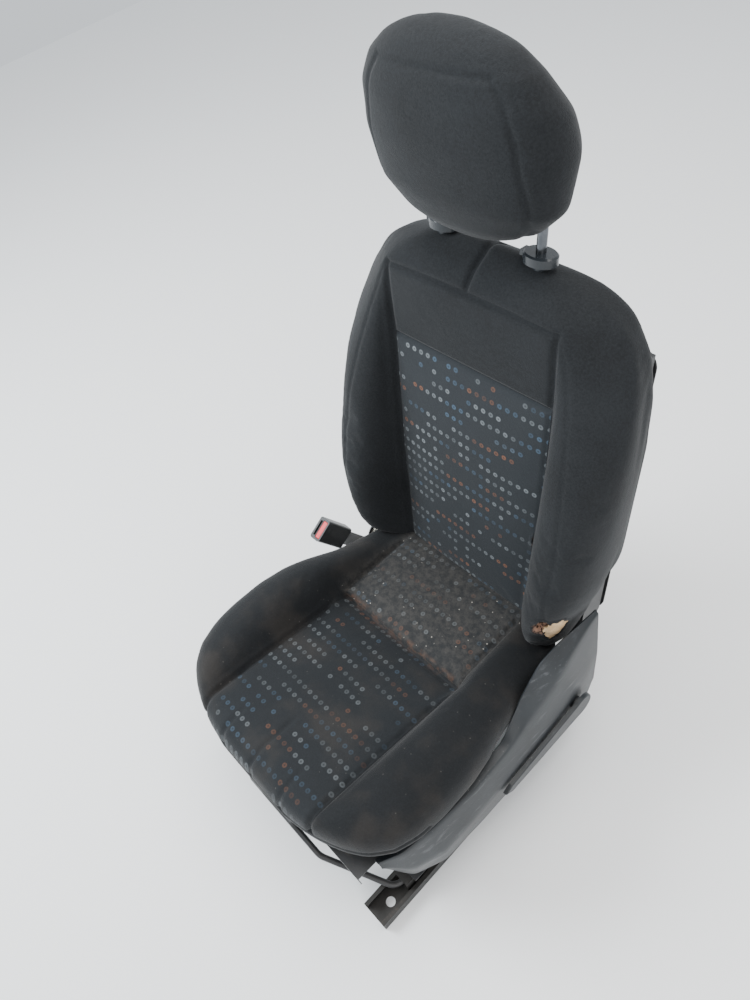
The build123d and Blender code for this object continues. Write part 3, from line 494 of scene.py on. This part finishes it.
def backSeams(across, upward, forward):
    # distance to the nearest seam of the backrest's front
    inner = profile(backrest["panelHalf"], 20)(upward)
    top, cross = backrest["panelTop"] * mm, backrest["crossSeam"] * mm
    topHere = top - (across / 0.14) ** 2 * 0.004
    beside = np.hypot(abs(across) - inner, np.maximum(upward - topHere, 0))
    over = np.hypot(upward - topHere, np.maximum(abs(across) - inner, 0))
    between = np.hypot(upward - cross, np.maximum(abs(across) - inner, 0))
    centre = np.hypot(across, np.maximum(topHere - upward, 0))
    nearest = np.minimum.reduce([beside, over, between, centre])
    return np.where(forward > -0.05, nearest, 1.0)


def makeBackrest():
    pad = startBlock("backrestPad", 56)
    a, b, c = getPoints(pad).T
    side, out = roundSection(a, c, *backrest["power"])
    rearSide, rearOut = roundSection(a, c, *backrest["rearPower"])
    side, out = np.where(c > 0, side, rearSide), np.where(c > 0, out, rearOut)
    low, high = backrest["rear"][0][0] * mm, backrest["rear"][-1][0] * mm
    upward = low + (high - low) * (1 - np.cos((b + 1) * math.pi / 2)) / 2
    across = side * profile(backrest["halfWidth"])(upward)
    middle = backrest["middle"] * mm
    front, rear = backSurface(across, upward), profile(backrest["rear"])(upward)
    forward = middle + np.where(out > 0, out * (front - middle), -out * (rear - middle))
    across = across * (1 - 0.035 * smoothStep(-forward, -0.010, 0.060))
    lowDoor = (1 - smoothStep(upward, 0.150, 0.215)) * (side > 0)
    across = across - np.clip(side, 0, 1) * backrest["doorTrim"] * mm * lowDoor
    setPoints(pad, fromBack(across, upward, forward))
    remesh(pad, backrest["voxel"] * mm)
    across, upward, forward = toBack(getPoints(pad))
    seam = ridge(backSeams(across, upward, forward), 0.010)
    rear = smoothStep(-forward, 0.045, 0.070)
    inflate(pad, np.maximum(np.round(seam, 1), rear), backrest["swell"])
    refine(pad)
    across, upward, forward = toBack(getPoints(pad))
    width, depth = backrest["groove"]
    groove = ridge(backSeams(across, upward, forward), width) * depth
    crest = abs(abs(across) - profile(backrest["crestLine"], 20)(upward))
    crest = crest + 8 * np.maximum(upward - 0.594, 0)
    width, depth = backrest["crestGroove"]
    groove = groove + ridge(np.where(forward > 0, crest, 1.0), width) * depth
    pushOut(pad, -groove)
    return pad


cushion = {
    "voxel": 6.0,
    "halfWidth": ((-235, 70), (-231, 104), (-221, 142), (-206, 178), (-188, 206), (-158, 230),
                  (-120, 242), (-75, 246), (-20, 245), (30, 238), (80, 220), (120, 204), (180, 194),
                  (226, 188), (250, 172)),
    "crest": ((-235, 262), (-230, 284), (-220, 300), (-201, 312), (-178, 322), (-100, 332),
              (-20, 331), (60, 320), (100, 306), (150, 287), (200, 266), (250, 250)),
    "panel": ((-235, 262), (-230, 282), (-220, 297), (-208, 303), (-196, 302), (-100, 286),
              (56, 255), (68, 246), (76, 246), (84, 261), (100, 264), (140, 264), (222, 263),
              (250, 257)),
    "under": ((-235, 236), (-228, 214), (-214, 199), (-110, 185), (205, 170), (228, 200), (250, 236)),
    "panelHalf": 128.0,
    "trench": 73.0,
    "widest": 250.0,
    "tuck": 34.0,
    "doorExtra": 13.0,
    "skirtSeam": 262.0,
    "power": (5.5, 3.2),
    "swell": 0.010,
    "groove": (0.0042, 0.0060),
    "skirtGroove": (0.0035, 0.0022),
    "trenchGroove": (0.0040, 0.0050),
    "fluteGroove": (0.0040, 0.0028),
    "flutes": ((0.0, -0.120), (-0.070, -0.165), (0.070, -0.165)),   # across, and where each ends
    "fill": 0.7,
}


def cushionTop(across, along):
    half = profile(cushion["halfWidth"])(along)
    inner = cushion["panelHalf"] * mm
    share = np.clip((abs(across) - inner) / np.maximum(half - inner, 0.02), 0, 1)
    swell = np.sin(np.clip(share / 0.45, 0, 1) * math.pi / 2) ** 1.3
    crest, panel = profile(cushion["crest"], 8)(along), profile(cushion["panel"], 5)(along)
    return panel + (crest - panel) * swell


def cushionSeams(points):
    across, along, upward = points.T
    inner = cushion["panelHalf"] * mm
    skirt = np.where(along < -0.10, abs(upward - cushion["skirtSeam"] * mm), 1.0)
    beside = np.where(upward > cushion["skirtSeam"] * mm, abs(abs(across) - inner), 1.0)
    trench = np.hypot(along - cushion["trench"] * mm, np.maximum(abs(across) - inner, 0))
    trench = np.where(upward > 0.235, trench, 1.0)
    return np.minimum.reduce([beside, trench]), skirt


def makeCushion():
    pad = startBlock("cushionPad", 56)
    a, b, c = getPoints(pad).T
    side, out = roundSection(a, c, *cushion["power"])
    front, rear = cushion["under"][0][0] * mm, cushion["under"][-1][0] * mm
    along = front + (rear - front) * (1 - np.cos((b + 1) * math.pi / 2)) / 2
    doorSide = smoothStep(along, 0.040, 0.120) * (side > 0) * cushion["doorExtra"] * mm
    across = side * (profile(cushion["halfWidth"], 6)(along) + doorSide)
    widest = cushion["widest"] * mm
    top, under = cushionTop(across, along), profile(cushion["under"], 5)(along)
    upward = widest + np.where(out > 0, out * (top - widest), -out * (under - widest))
    tuck = smoothStep(widest - upward, 0, 0.036) * cushion["tuck"] * mm
    across = across * (1 - tuck / 0.24)
    setPoints(pad, np.stack([across, along, upward], 1))
    remesh(pad, cushion["voxel"] * mm)
    points = getPoints(pad)
    seam, skirt = cushionSeams(points)
    held = np.maximum(ridge(seam, 0.010), ridge(skirt, 0.008) * 0.6)
    held = np.maximum(held, smoothStep(-points[:, 2], -0.225, -0.205))
    held = np.maximum(held, smoothStep(points[:, 1], 0.205, 0.235))
    beside = smoothStep(abs(points[:, 0]), 0.190, 0.205) * smoothStep(points[:, 1], 0.06, 0.10)
    inflate(pad, np.maximum(held, beside), cushion["swell"])
    refine(pad)
    points = getPoints(pad)
    seam, skirt = cushionSeams(points)
    across, along, upward = points.T
    width, depth = cushion["groove"]
    skirtWidth, skirtDepth = cushion["skirtGroove"]
    groove = ridge(seam, width) * depth + ridge(skirt, skirtWidth) * skirtDepth
    width, depth = cushion["trenchGroove"]
    trench = ridge(along - cushion["trench"] * mm, width) * (abs(across) < cushion["panelHalf"] * mm)
    groove = groove + trench * depth
    width, depth = cushion["fluteGroove"]
    for place, reach in cushion["flutes"]:
        fade = smoothStep(reach - along, 0, 0.030) * (upward > cushion["skirtSeam"] * mm)
        groove = groove + ridge(across - place, width) * depth * fade
    pushOut(pad, -groove)
    return pad


def scuffed(finish, base, wear, scale, amount):
    # paler rubbed places on a moulded or painted surface
    marks = finish.noise(scale, 6.0, 0.7).ramp(0.56, 0.74)
    marks = marks * finish.noise(scale * 0.23, 2.0).ramp(0.42, 0.66)
    return finish.mix(marks * amount, base, wear)


dust = {
    # below the first height it lies thick and above the second there is none; then how much
    "paint": (0.05, 0.30, 0.20),
    "plastic": (0.08, 0.24, 0.25),
    "shield": (0.08, 0.30, 0.25),
}


def settled(finish, low, high, amount):
    # how much dust lies on a surface: more on what faces up and on what is low
    facing = finish.axes(finish.node("NewGeometry", {}, {}, "Normal"))[2]
    height = finish.axes()[2]
    patches = finish.noise(16.0, 5.0).ramp(0.34, 0.66)
    return facing.ramp(0.2, 1.0) * height.ramp(high, low) * patches * amount


paint = {
    # finish name: CAD slot, base, worn colour, roughness, metallic, scratch scale,
    # scratches, grain
    "railSteel": ("rail_steel", (0.013, 0.012, 0.011), (0.085, 0.064, 0.048),
                  0.50, 0.35, 60.0, 0.75, 0.00050),
    "barPaint": ("black_paint", (0.012, 0.012, 0.013), (0.075, 0.072, 0.070),
                 0.36, 0.0, 80.0, 0.55, 0.00018),
    "framePaint": ("frame_paint", (0.020, 0.020, 0.021), (0.090, 0.070, 0.052),
                   0.45, 0.0, 60.0, 0.5, 0.00025),
    "zincSteel": ("zinc_steel", (0.330, 0.310, 0.270), (0.160, 0.120, 0.080),
                  0.40, 0.9, 70.0, 0.7, 0.00030),
    "ballSteel": ("ball_steel", (0.420, 0.420, 0.420), (0.200, 0.160, 0.120),
                  0.22, 1.0, 90.0, 0.4, 0.00010),
    "springWire": ("spring_wire", (0.120, 0.115, 0.110), (0.200, 0.130, 0.080),
                   0.38, 0.9, 90.0, 0.6, 0.00020),
    "postSteel": ("post_steel", (0.100, 0.106, 0.115), (0.300, 0.310, 0.320),
                  0.24, 0.9, 120.0, 0.35, 0.00006),
    "strapSteel": ("strap_steel", (0.300, 0.302, 0.306), (0.420, 0.410, 0.390),
                   0.46, 0.30, 70.0, 0.5, 0.00025),
}

plastic = {
    # finish name: CAD slot, base, worn colour, roughness, coat, scratch scale,
    # scratches, grain
    "cagePlastic": ("cage_plastic", (0.060, 0.058, 0.052), (0.130, 0.120, 0.100),
                    0.50, 0.0, 60.0, 0.4, 0.00020),
    "collarPlastic": ("collar_plastic", (0.022, 0.026, 0.030), (0.095, 0.100, 0.108),
                      0.24, 0.25, 90.0, 0.35, 0.00006),
    "buckleShell": ("buckle_plastic", (0.013, 0.013, 0.014), (0.070, 0.070, 0.072),
                    0.38, 0.10, 80.0, 0.5, 0.00018),
    "buttonRed": ("button_red", (0.720, 0.010, 0.022), (0.800, 0.110, 0.130),
                  0.36, 0.10, 90.0, 0.30, 0.00010),
    "boardFelt": ("board_felt", (0.014, 0.014, 0.015), (0.055, 0.053, 0.050),
                  0.95, 0.0, 40.0, 0.8, 0.00060),
}


def paintFinish(name, base, worn, roughness, metallic, scale, amount, grain):
    finish = Finish(name, roughness=roughness, metallic=metallic)
    blotch = finish.noise(scale * 0.35, 5.0)
    shade = finish.mix(blotch.ramp(0.35, 0.7), colour(*base), colour(*[v * 1.5 for v in base]))
    shade = scuffed(finish, shade, colour(*worn), scale, amount)
    dusty = settled(finish, *dust["paint"])
    shade = finish.mix(dusty, shade, cloth["dust"])
    fine = finish.noise(900.0, 2.0)
    normal = finish.bump(fine + blotch * 2.5, grain, 0.6)
    uneven = roughness + (blotch - 0.5) * 0.25 + dusty * 0.5
    finish.wire(baseColor=shade, normal=normal, roughness=uneven)
    return finish.material


def plasticFinish(name, base, worn, roughness, coat, scale, amount, grain):
    finish = Finish(name, roughness=roughness, specularIorLevel=0.32, coatWeight=coat, coatRoughness=0.16)
    shade = scuffed(finish, colour(*base), colour(*worn), scale, amount)
    dusty = settled(finish, *dust["plastic"])
    shade = finish.mix(dusty, shade, cloth["dust"])
    leather = finish.cells(1300.0)
    normal = finish.bump(leather + finish.noise(60.0, 4.0) * 1.6, grain, 0.6)
    uneven = roughness + (finish.noise(35.0, 4.0) - 0.5) * 0.22 + dusty * 0.5
    finish.wire(baseColor=shade, normal=normal, roughness=uneven)
    return finish.material


def foamFinish():
    finish = Finish("foamFinish", roughness=0.95, specularIorLevel=0.15)
    pores = finish.cells(520.0) * 0.7 + finish.cells(210.0, settings={"feature": "SMOOTH_F1"}) * 0.5
    stain = finish.noise(30.0, 5.0)
    shade = finish.mix(stain.ramp(0.36, 0.70), colour(0.760, 0.560, 0.345), colour(0.560, 0.370, 0.200))
    # the pores are painted a darker brown: painted shade in the foam's holes
    shade = finish.mix(pores.ramp(0.22, 0.08) * 0.5, shade, colour(0.300, 0.190, 0.105))
    finish.wire(baseColor=shade, normal=finish.bump(pores + stain, 0.0012, 0.8))
    return finish.material


def shieldFinish():
    # grained dark blue-grey plastic, polished and scraped where legs slide over its shoulder
    finish = Finish("shieldPlastic", roughness=0.40, specularIorLevel=0.45)
    streaks = finish.noise(130.0, 5.0, 0.65, finish.turned(rotation=(0.5, 0, 0), scale=(1.0, 0.14, 1.0)))
    rubbed = streaks.ramp(0.52, 0.72) * finish.noise(22.0, 4.0).ramp(0.44, 0.66)
    dark, light = colour(0.0085, 0.0108, 0.0130), colour(0.0165, 0.0200, 0.0235)
    shade = finish.mix(finish.noise(14.0, 4.0).ramp(0.3, 0.7), dark, light)
    shade = finish.mix(rubbed * 0.55, shade, colour(0.105, 0.112, 0.122))
    nicks = finish.noise(420.0, 2.0).ramp(0.70, 0.76)
    shade = finish.mix(nicks * 0.6, shade, colour(0.230, 0.235, 0.240))
    dusty = settled(finish, *dust["shield"])
    shade = finish.mix(dusty, shade, cloth["dust"])
    grain = finish.cells(950.0)
    normal = finish.bump(grain + rubbed * 0.8, 0.00022, 0.6)
    normal = finish.bump(finish.noise(26.0, 3.0), 0.0016, 0.30, normal)
    finish.wire(baseColor=shade, roughness=(0.42 - rubbed * 0.12 + dusty * 0.4), normal=normal)
    return finish.material


finishes = {values[0]: paintFinish(name, *values[1:]) for name, values in paint.items()}
finishes.update({values[0]: plasticFinish(name, *values[1:]) for name, values in plastic.items()})
finishes["foam"] = foamFinish()
finishes["shield_plastic"] = shieldFinish()
print("materials: hard parts ready")


def coat():
    # each CAD piece gets its own finish in place of its plain one
    for piece in frame["nodes"].values():
        for holder in piece.material_slots:
            slot = holder.material.name.split(".")[0]
            if slot in finishes:
                holder.material = finishes[slot]


coat()

tear = {
    "middle": (0.2120, 0.2075, 0.3490),
    "reach": (0.0150, 0.0255),       # half width and half height of the bare foam, as it faces
    "hollow": (0.1975, 0.1945, 0.3655),
    "hollowReach": (0.0110, 0.0170),
    "sideways": (0.6985, 0.6958, -0.1672),
    "along": (0.5002, -0.3068, 0.8097),
    "ragged": 0.24,
    "seeds": (2.0, 7.0),             # of the foam's ragged edge and of the hollow's
    "bareEdge": 1.12,
    "proud": 0.0036,
    "sink": -0.0030,
    "lumps": (0.010, 0.0011, 5.0),   # size, height and seed
    "crumbs": (0.0030, 0.00045, 1.0),
    "thickness": 0.004,
    "hollowDepth": 0.0150,
    "lift": 0.0022,
}


def tearShare(points, middle, reach, seed):
    # 0 at the middle of a torn place, 1 at its ragged edge
    away = points - np.array(middle)
    sideways, along = away @ np.array(tear["sideways"]), away @ np.array(tear["along"])
    share = np.hypot(sideways / reach[0], along / reach[1])
    facing = toBack(points)[2] > 0.0
    return np.where(facing, share + roll(points, 0.008, tear["ragged"], seed), 9.0)


def makeTornFoam(pad):
    # the foam that shows at the tear: the same surface, a little proud of the cloth and lumpy
    share = tearShare(getPoints(pad), tear["middle"], tear["reach"], tear["seeds"][0])
    bare = share < tear["bareEdge"]
    data = pad.data
    faces = [face.vertices[:] for face in data.polygons if all(bare[v] for v in face.vertices)]
    used = sorted({v for face in faces for v in face})
    index = {v: n for n, v in enumerate(used)}
    mesh = bpy.data.meshes.new("tornFoam")
    points, normals = getPoints(pad)[used], getNormals(pad)[used]
    proud = tear["proud"] * np.clip(1.10 - share[used], -0.4, 0.55) + roll(points, *tear["lumps"])
    points = points + normals * proud[:, None]
    mesh.from_pydata(points.tolist(), [], [[index[v] for v in face] for face in faces])
    piece = bpy.data.objects.new("tornFoam", mesh)
    bpy.context.scene.collection.objects.link(piece)
    crumbs = piece.modifiers.new("crumbs", "SUBSURF")
    crumbs.levels = crumbs.render_levels = 2
    thick = piece.modifiers.new("thick", "SOLIDIFY")
    thick.thickness = tear["thickness"]
    thick.offset = -1
    applyAll(piece)
    pushOut(piece, roll(getPoints(piece), *tear["crumbs"]))
    bpy.ops.object.shade_smooth()
    return piece


def tearCloth(pad):
    # sinks the cloth under the bare foam, lifts its edge and opens the hollow beside it
    share = tearShare(getPoints(pad), tear["middle"], tear["reach"], tear["seeds"][0])
    push = tear["sink"] * (share < 0.9) + tear["lift"] * ridge(share - 1.18, 0.13)
    share = tearShare(getPoints(pad), tear["hollow"], tear["hollowReach"], tear["seeds"][1])
    push = push - tear["hollowDepth"] * smoothStep(1.05 - share, 0, 0.6)
    push = push + tear["lift"] * ridge(share - 1.2, 0.12)
    pushOut(pad, push)
    mask = pad.data.attributes.new("hollow", "FLOAT", "POINT")
    mask.data.foreach_set("value", smoothStep(1.12 - share, 0, 0.22).astype(np.float32))


def hollowDirt(finish, base):
    # brown torn lining inside the hollow
    inside = finish.node("Attribute", {"attribute_name": "hollow"}, {}, "Fac")
    dark, light = colour(0.020, 0.010, 0.006), colour(0.330, 0.190, 0.130)
    lining = finish.mix(finish.noise(190.0, 5.0).ramp(0.44, 0.60), dark, light)
    return finish.mix(inside, base, lining)


def ridgeOf(value, place, width):
    # 1 at a place along an axis, falling to 0 a width away
    return abs(value - place).ramp(width, 0.0)


def seatDirt(finish, base):
    # the rear of the cushion is dusty and linty, with a rusty stain along the trench
    across, along, upward = finish.axes()
    onTop = upward.ramp(0.235, 0.250)
    rear = along.ramp(0.070, 0.078) * onTop * abs(across).ramp(0.150, 0.126)
    grime = rear * (finish.noise(90.0, 6.0, 0.7).ramp(0.36, 0.66) * 0.22 + finish.noise(20.0, 3.0) * 0.16)
    shade = finish.mix(grime, base, cloth["dust"])
    front = (1 - rear).sum("MAXIMUM", 0.0) * onTop * finish.noise(11.0, 5.0).ramp(0.46, 0.70) * 0.22
    shade = finish.mix(front, shade, colour(0.060, 0.048, 0.038))
    edge = ridgeOf(along, 0.078, 0.010) * abs(across).ramp(0.135, 0.120) * onTop
    stain = edge * finish.noise(60.0, 5.0).ramp(0.44, 0.60) * 0.35
    shade = finish.mix(stain, shade, colour(0.190, 0.090, 0.050))
    lint = finish.cells(85.0).ramp(0.13, 0.05) * finish.noise(500.0, 2.0).ramp(0.45, 0.55)
    crumbs = lint * (rear * 0.9 + onTop * 0.10) * finish.noise(17.0, 3.0).ramp(0.44, 0.58)
    return finish.mix(crumbs, shade, colour(0.480, 0.450, 0.400))


shield = {
    # places along the seat, then each edge there as across and height, in millimetres
    "along": (-182, -150, -100, -20, 60, 120, 160, 200, 240, 270),
    "upper": ((203, 214), (208, 206), (216, 217), (230, 226), (230, 236), (223, 288), (222, 322),
              (226, 338), (234, 350), (239, 356)),
    "ridge": ((211, 217), (226, 212), (237, 220), (245, 224), (246, 235), (245, 252), (246, 274),
              (246, 316), (244, 340), (243, 350)),
    "shoulder": ((216, 208), (240, 165), (256, 160), (258, 170), (258, 176), (258, 180), (257, 186),
                 (255, 200), (252, 215), (247, 240)),
    "lower": ((212, 198), (231, 112), (249, 104), (252, 103), (252, 102), (252, 99), (252, 97),
              (252, 98), (249, 108), (245, 150)),
    "wall": 3.0,
    "step": 2.5,
}


def makeShield():
    # a thin moulded shell lofted through its sections, rounded at its ridge and shoulder
    places = np.arange(shield["along"][0], shield["along"][-1] + 0.1, shield["step"])
    rails = []
    for edge in ("upper", "ridge", "shoulder", "lower"):
        spots = np.array(shield[edge], float)
        curves = [profile(list(zip(shield["along"], spots[:, k])), 14)(places * mm) for k in (0, 1)]
        rails.append(np.stack([curves[0], places * mm, curves[1]], 1))
    rows = []
    for start, end in zip(rails, rails[1:]):
        rows += [start + (end - start) * share for share in np.linspace(0, 1, 14)[:-1]]
    rows = np.array(rows + [rails[-1]])
    for _ in range(3):
        rows[1:-1] = (rows[:-2] + rows[1:-1] * 2 + rows[2:]) / 4
    tall, wide = rows.shape[:2]
    grid = np.arange(tall * wide).reshape(tall, wide)
    faces = np.stack([grid[:-1, :-1], grid[1:, :-1], grid[1:, 1:], grid[:-1, 1:]], -1).reshape(-1, 4)
    mesh = bpy.data.meshes.new("shieldShell")
    mesh.from_pydata(rows.reshape(-1, 3).tolist(), [], faces.tolist())
    piece = bpy.data.objects.new("shieldShell", mesh)
    bpy.context.scene.collection.objects.link(piece)
    pick(piece)
    bpy.ops.object.mode_set(mode="EDIT")
    bpy.ops.mesh.select_all(action="SELECT")
    bpy.ops.mesh.normals_make_consistent(inside=False)
    bpy.ops.object.mode_set(mode="OBJECT")
    if piece.data.polygons[len(piece.data.polygons) // 2].normal.x < 0:
        piece.data.flip_normals()
    wall = piece.modifiers.new("wall", "SOLIDIFY")
    wall.thickness, wall.offset = shield["wall"] * mm, -1
    edges = piece.modifiers.new("edges", "BEVEL")
    edges.width, edges.segments, edges.limit_method = 0.0009, 2, "ANGLE"
    applyAll(piece)
    bpy.ops.object.shade_smooth_by_angle(angle=math.radians(35))
    piece.data.materials.append(finishes["shield_plastic"])
    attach(piece, "seat_base")
    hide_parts("side_shield")


makeShield()
print("side shield done")
headrestPad = makeHeadrest()
dress(headrestPad, clothFinish("headrestCloth"), "headrest",
      ["headrest_cover", "headrest_foam"])
print("headrest done")
backrestPad = makeBackrest()
tornFoam = makeTornFoam(backrestPad)
tearCloth(backrestPad)
dress(backrestPad, clothFinish("backrestCloth", backPanel, hollowDirt), "backrest",
      ["backrest_cover", "backrest_foam"])
tornFoam.data.materials.append(finishes["foam"])
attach(tornFoam, "backrest")
print("backrest done")
cushionPad = makeCushion()
# the cushion's copy of the cloth is darker than the backrest's and headrest's: painted shade, as if the
# cushion lay in shadow
cushionCloth = clothFinish("cushionCloth", seatPanel, seatDirt, tone=0.62, glow=0.42)
dress(cushionPad, cushionCloth, "seat_base",
      ["cushion_cover", "cushion_foam"])
print("cushion done")


studio = {
    "floor": colour(0.94, 0.94, 0.938),
    "floorSize": 9,
    "sky": colour(0.90, 0.95, 1.0),
    "skyPower": 0.95,
    "aim": (0, 0.1, 0.45),               # where the lamps point
    "lamps": (
        # name, place, size, power, colour
        ("keyLamp", (-1.8, -1.3, 2.3), 1.3, 105.0, (0.90, 0.96, 1.0)),
        ("topLamp", (0.2, 0.5, 2.9), 2.0, 75.0, (1.0, 0.98, 0.95)),
        ("sideLamp", (2.2, -0.9, 1.5), 1.6, 18.0, (1.0, 0.97, 0.93)),
    ),
    "eye": (0.5449, -0.2333, 1.3313),
    "turn": (58.26, 49.34, -15.52),      # azimuth, elevation, roll
    "lens": 27.0,
}


def makeStudio():
    scene = bpy.context.scene
    bpy.ops.mesh.primitive_plane_add(size=studio["floorSize"])
    floor = bpy.context.active_object
    floor.name = "floor"
    finish = Finish("floorFinish", roughness=0.7)
    finish.wire(baseColor=studio["floor"])
    floor.data.materials.append(finish.material)
    scene.world = scene.world or bpy.data.worlds.new("sky")
    scene.world.use_nodes = True
    backdrop = scene.world.node_tree.nodes["Background"]
    backdrop.inputs["Color"].default_value = studio["sky"]
    backdrop.inputs["Strength"].default_value = studio["skyPower"]
    for name, place, size, power, tint in studio["lamps"]:
        lamp = bpy.data.lights.new(name, "AREA")
        lamp.size, lamp.energy, lamp.color = size, power, tint
        holder = bpy.data.objects.new(name, lamp)
        holder.location = place
        aim = Vector(studio["aim"]) - Vector(place)
        holder.rotation_euler = aim.to_track_quat("-Z", "Y").to_euler()
        scene.collection.objects.link(holder)
    azimuth, elevation, tilt = (math.radians(x) for x in studio["turn"])
    flat = math.cos(elevation)
    back = Vector((math.sin(azimuth) * flat, -math.cos(azimuth) * flat, math.sin(elevation)))
    right = Vector((math.cos(azimuth), math.sin(azimuth), 0))
    turned = Matrix((right, back.cross(right), back)).transposed() @ Matrix.Rotation(tilt, 3, "Z")
    camera = bpy.data.objects.new("camera", bpy.data.cameras.new("camera"))
    camera.matrix_world = Matrix.Translation(studio["eye"]) @ turned.to_4x4()
    camera.data.lens = studio["lens"]
    scene.collection.objects.link(camera)
    scene.camera = camera


makeStudio()
print("studio ready")
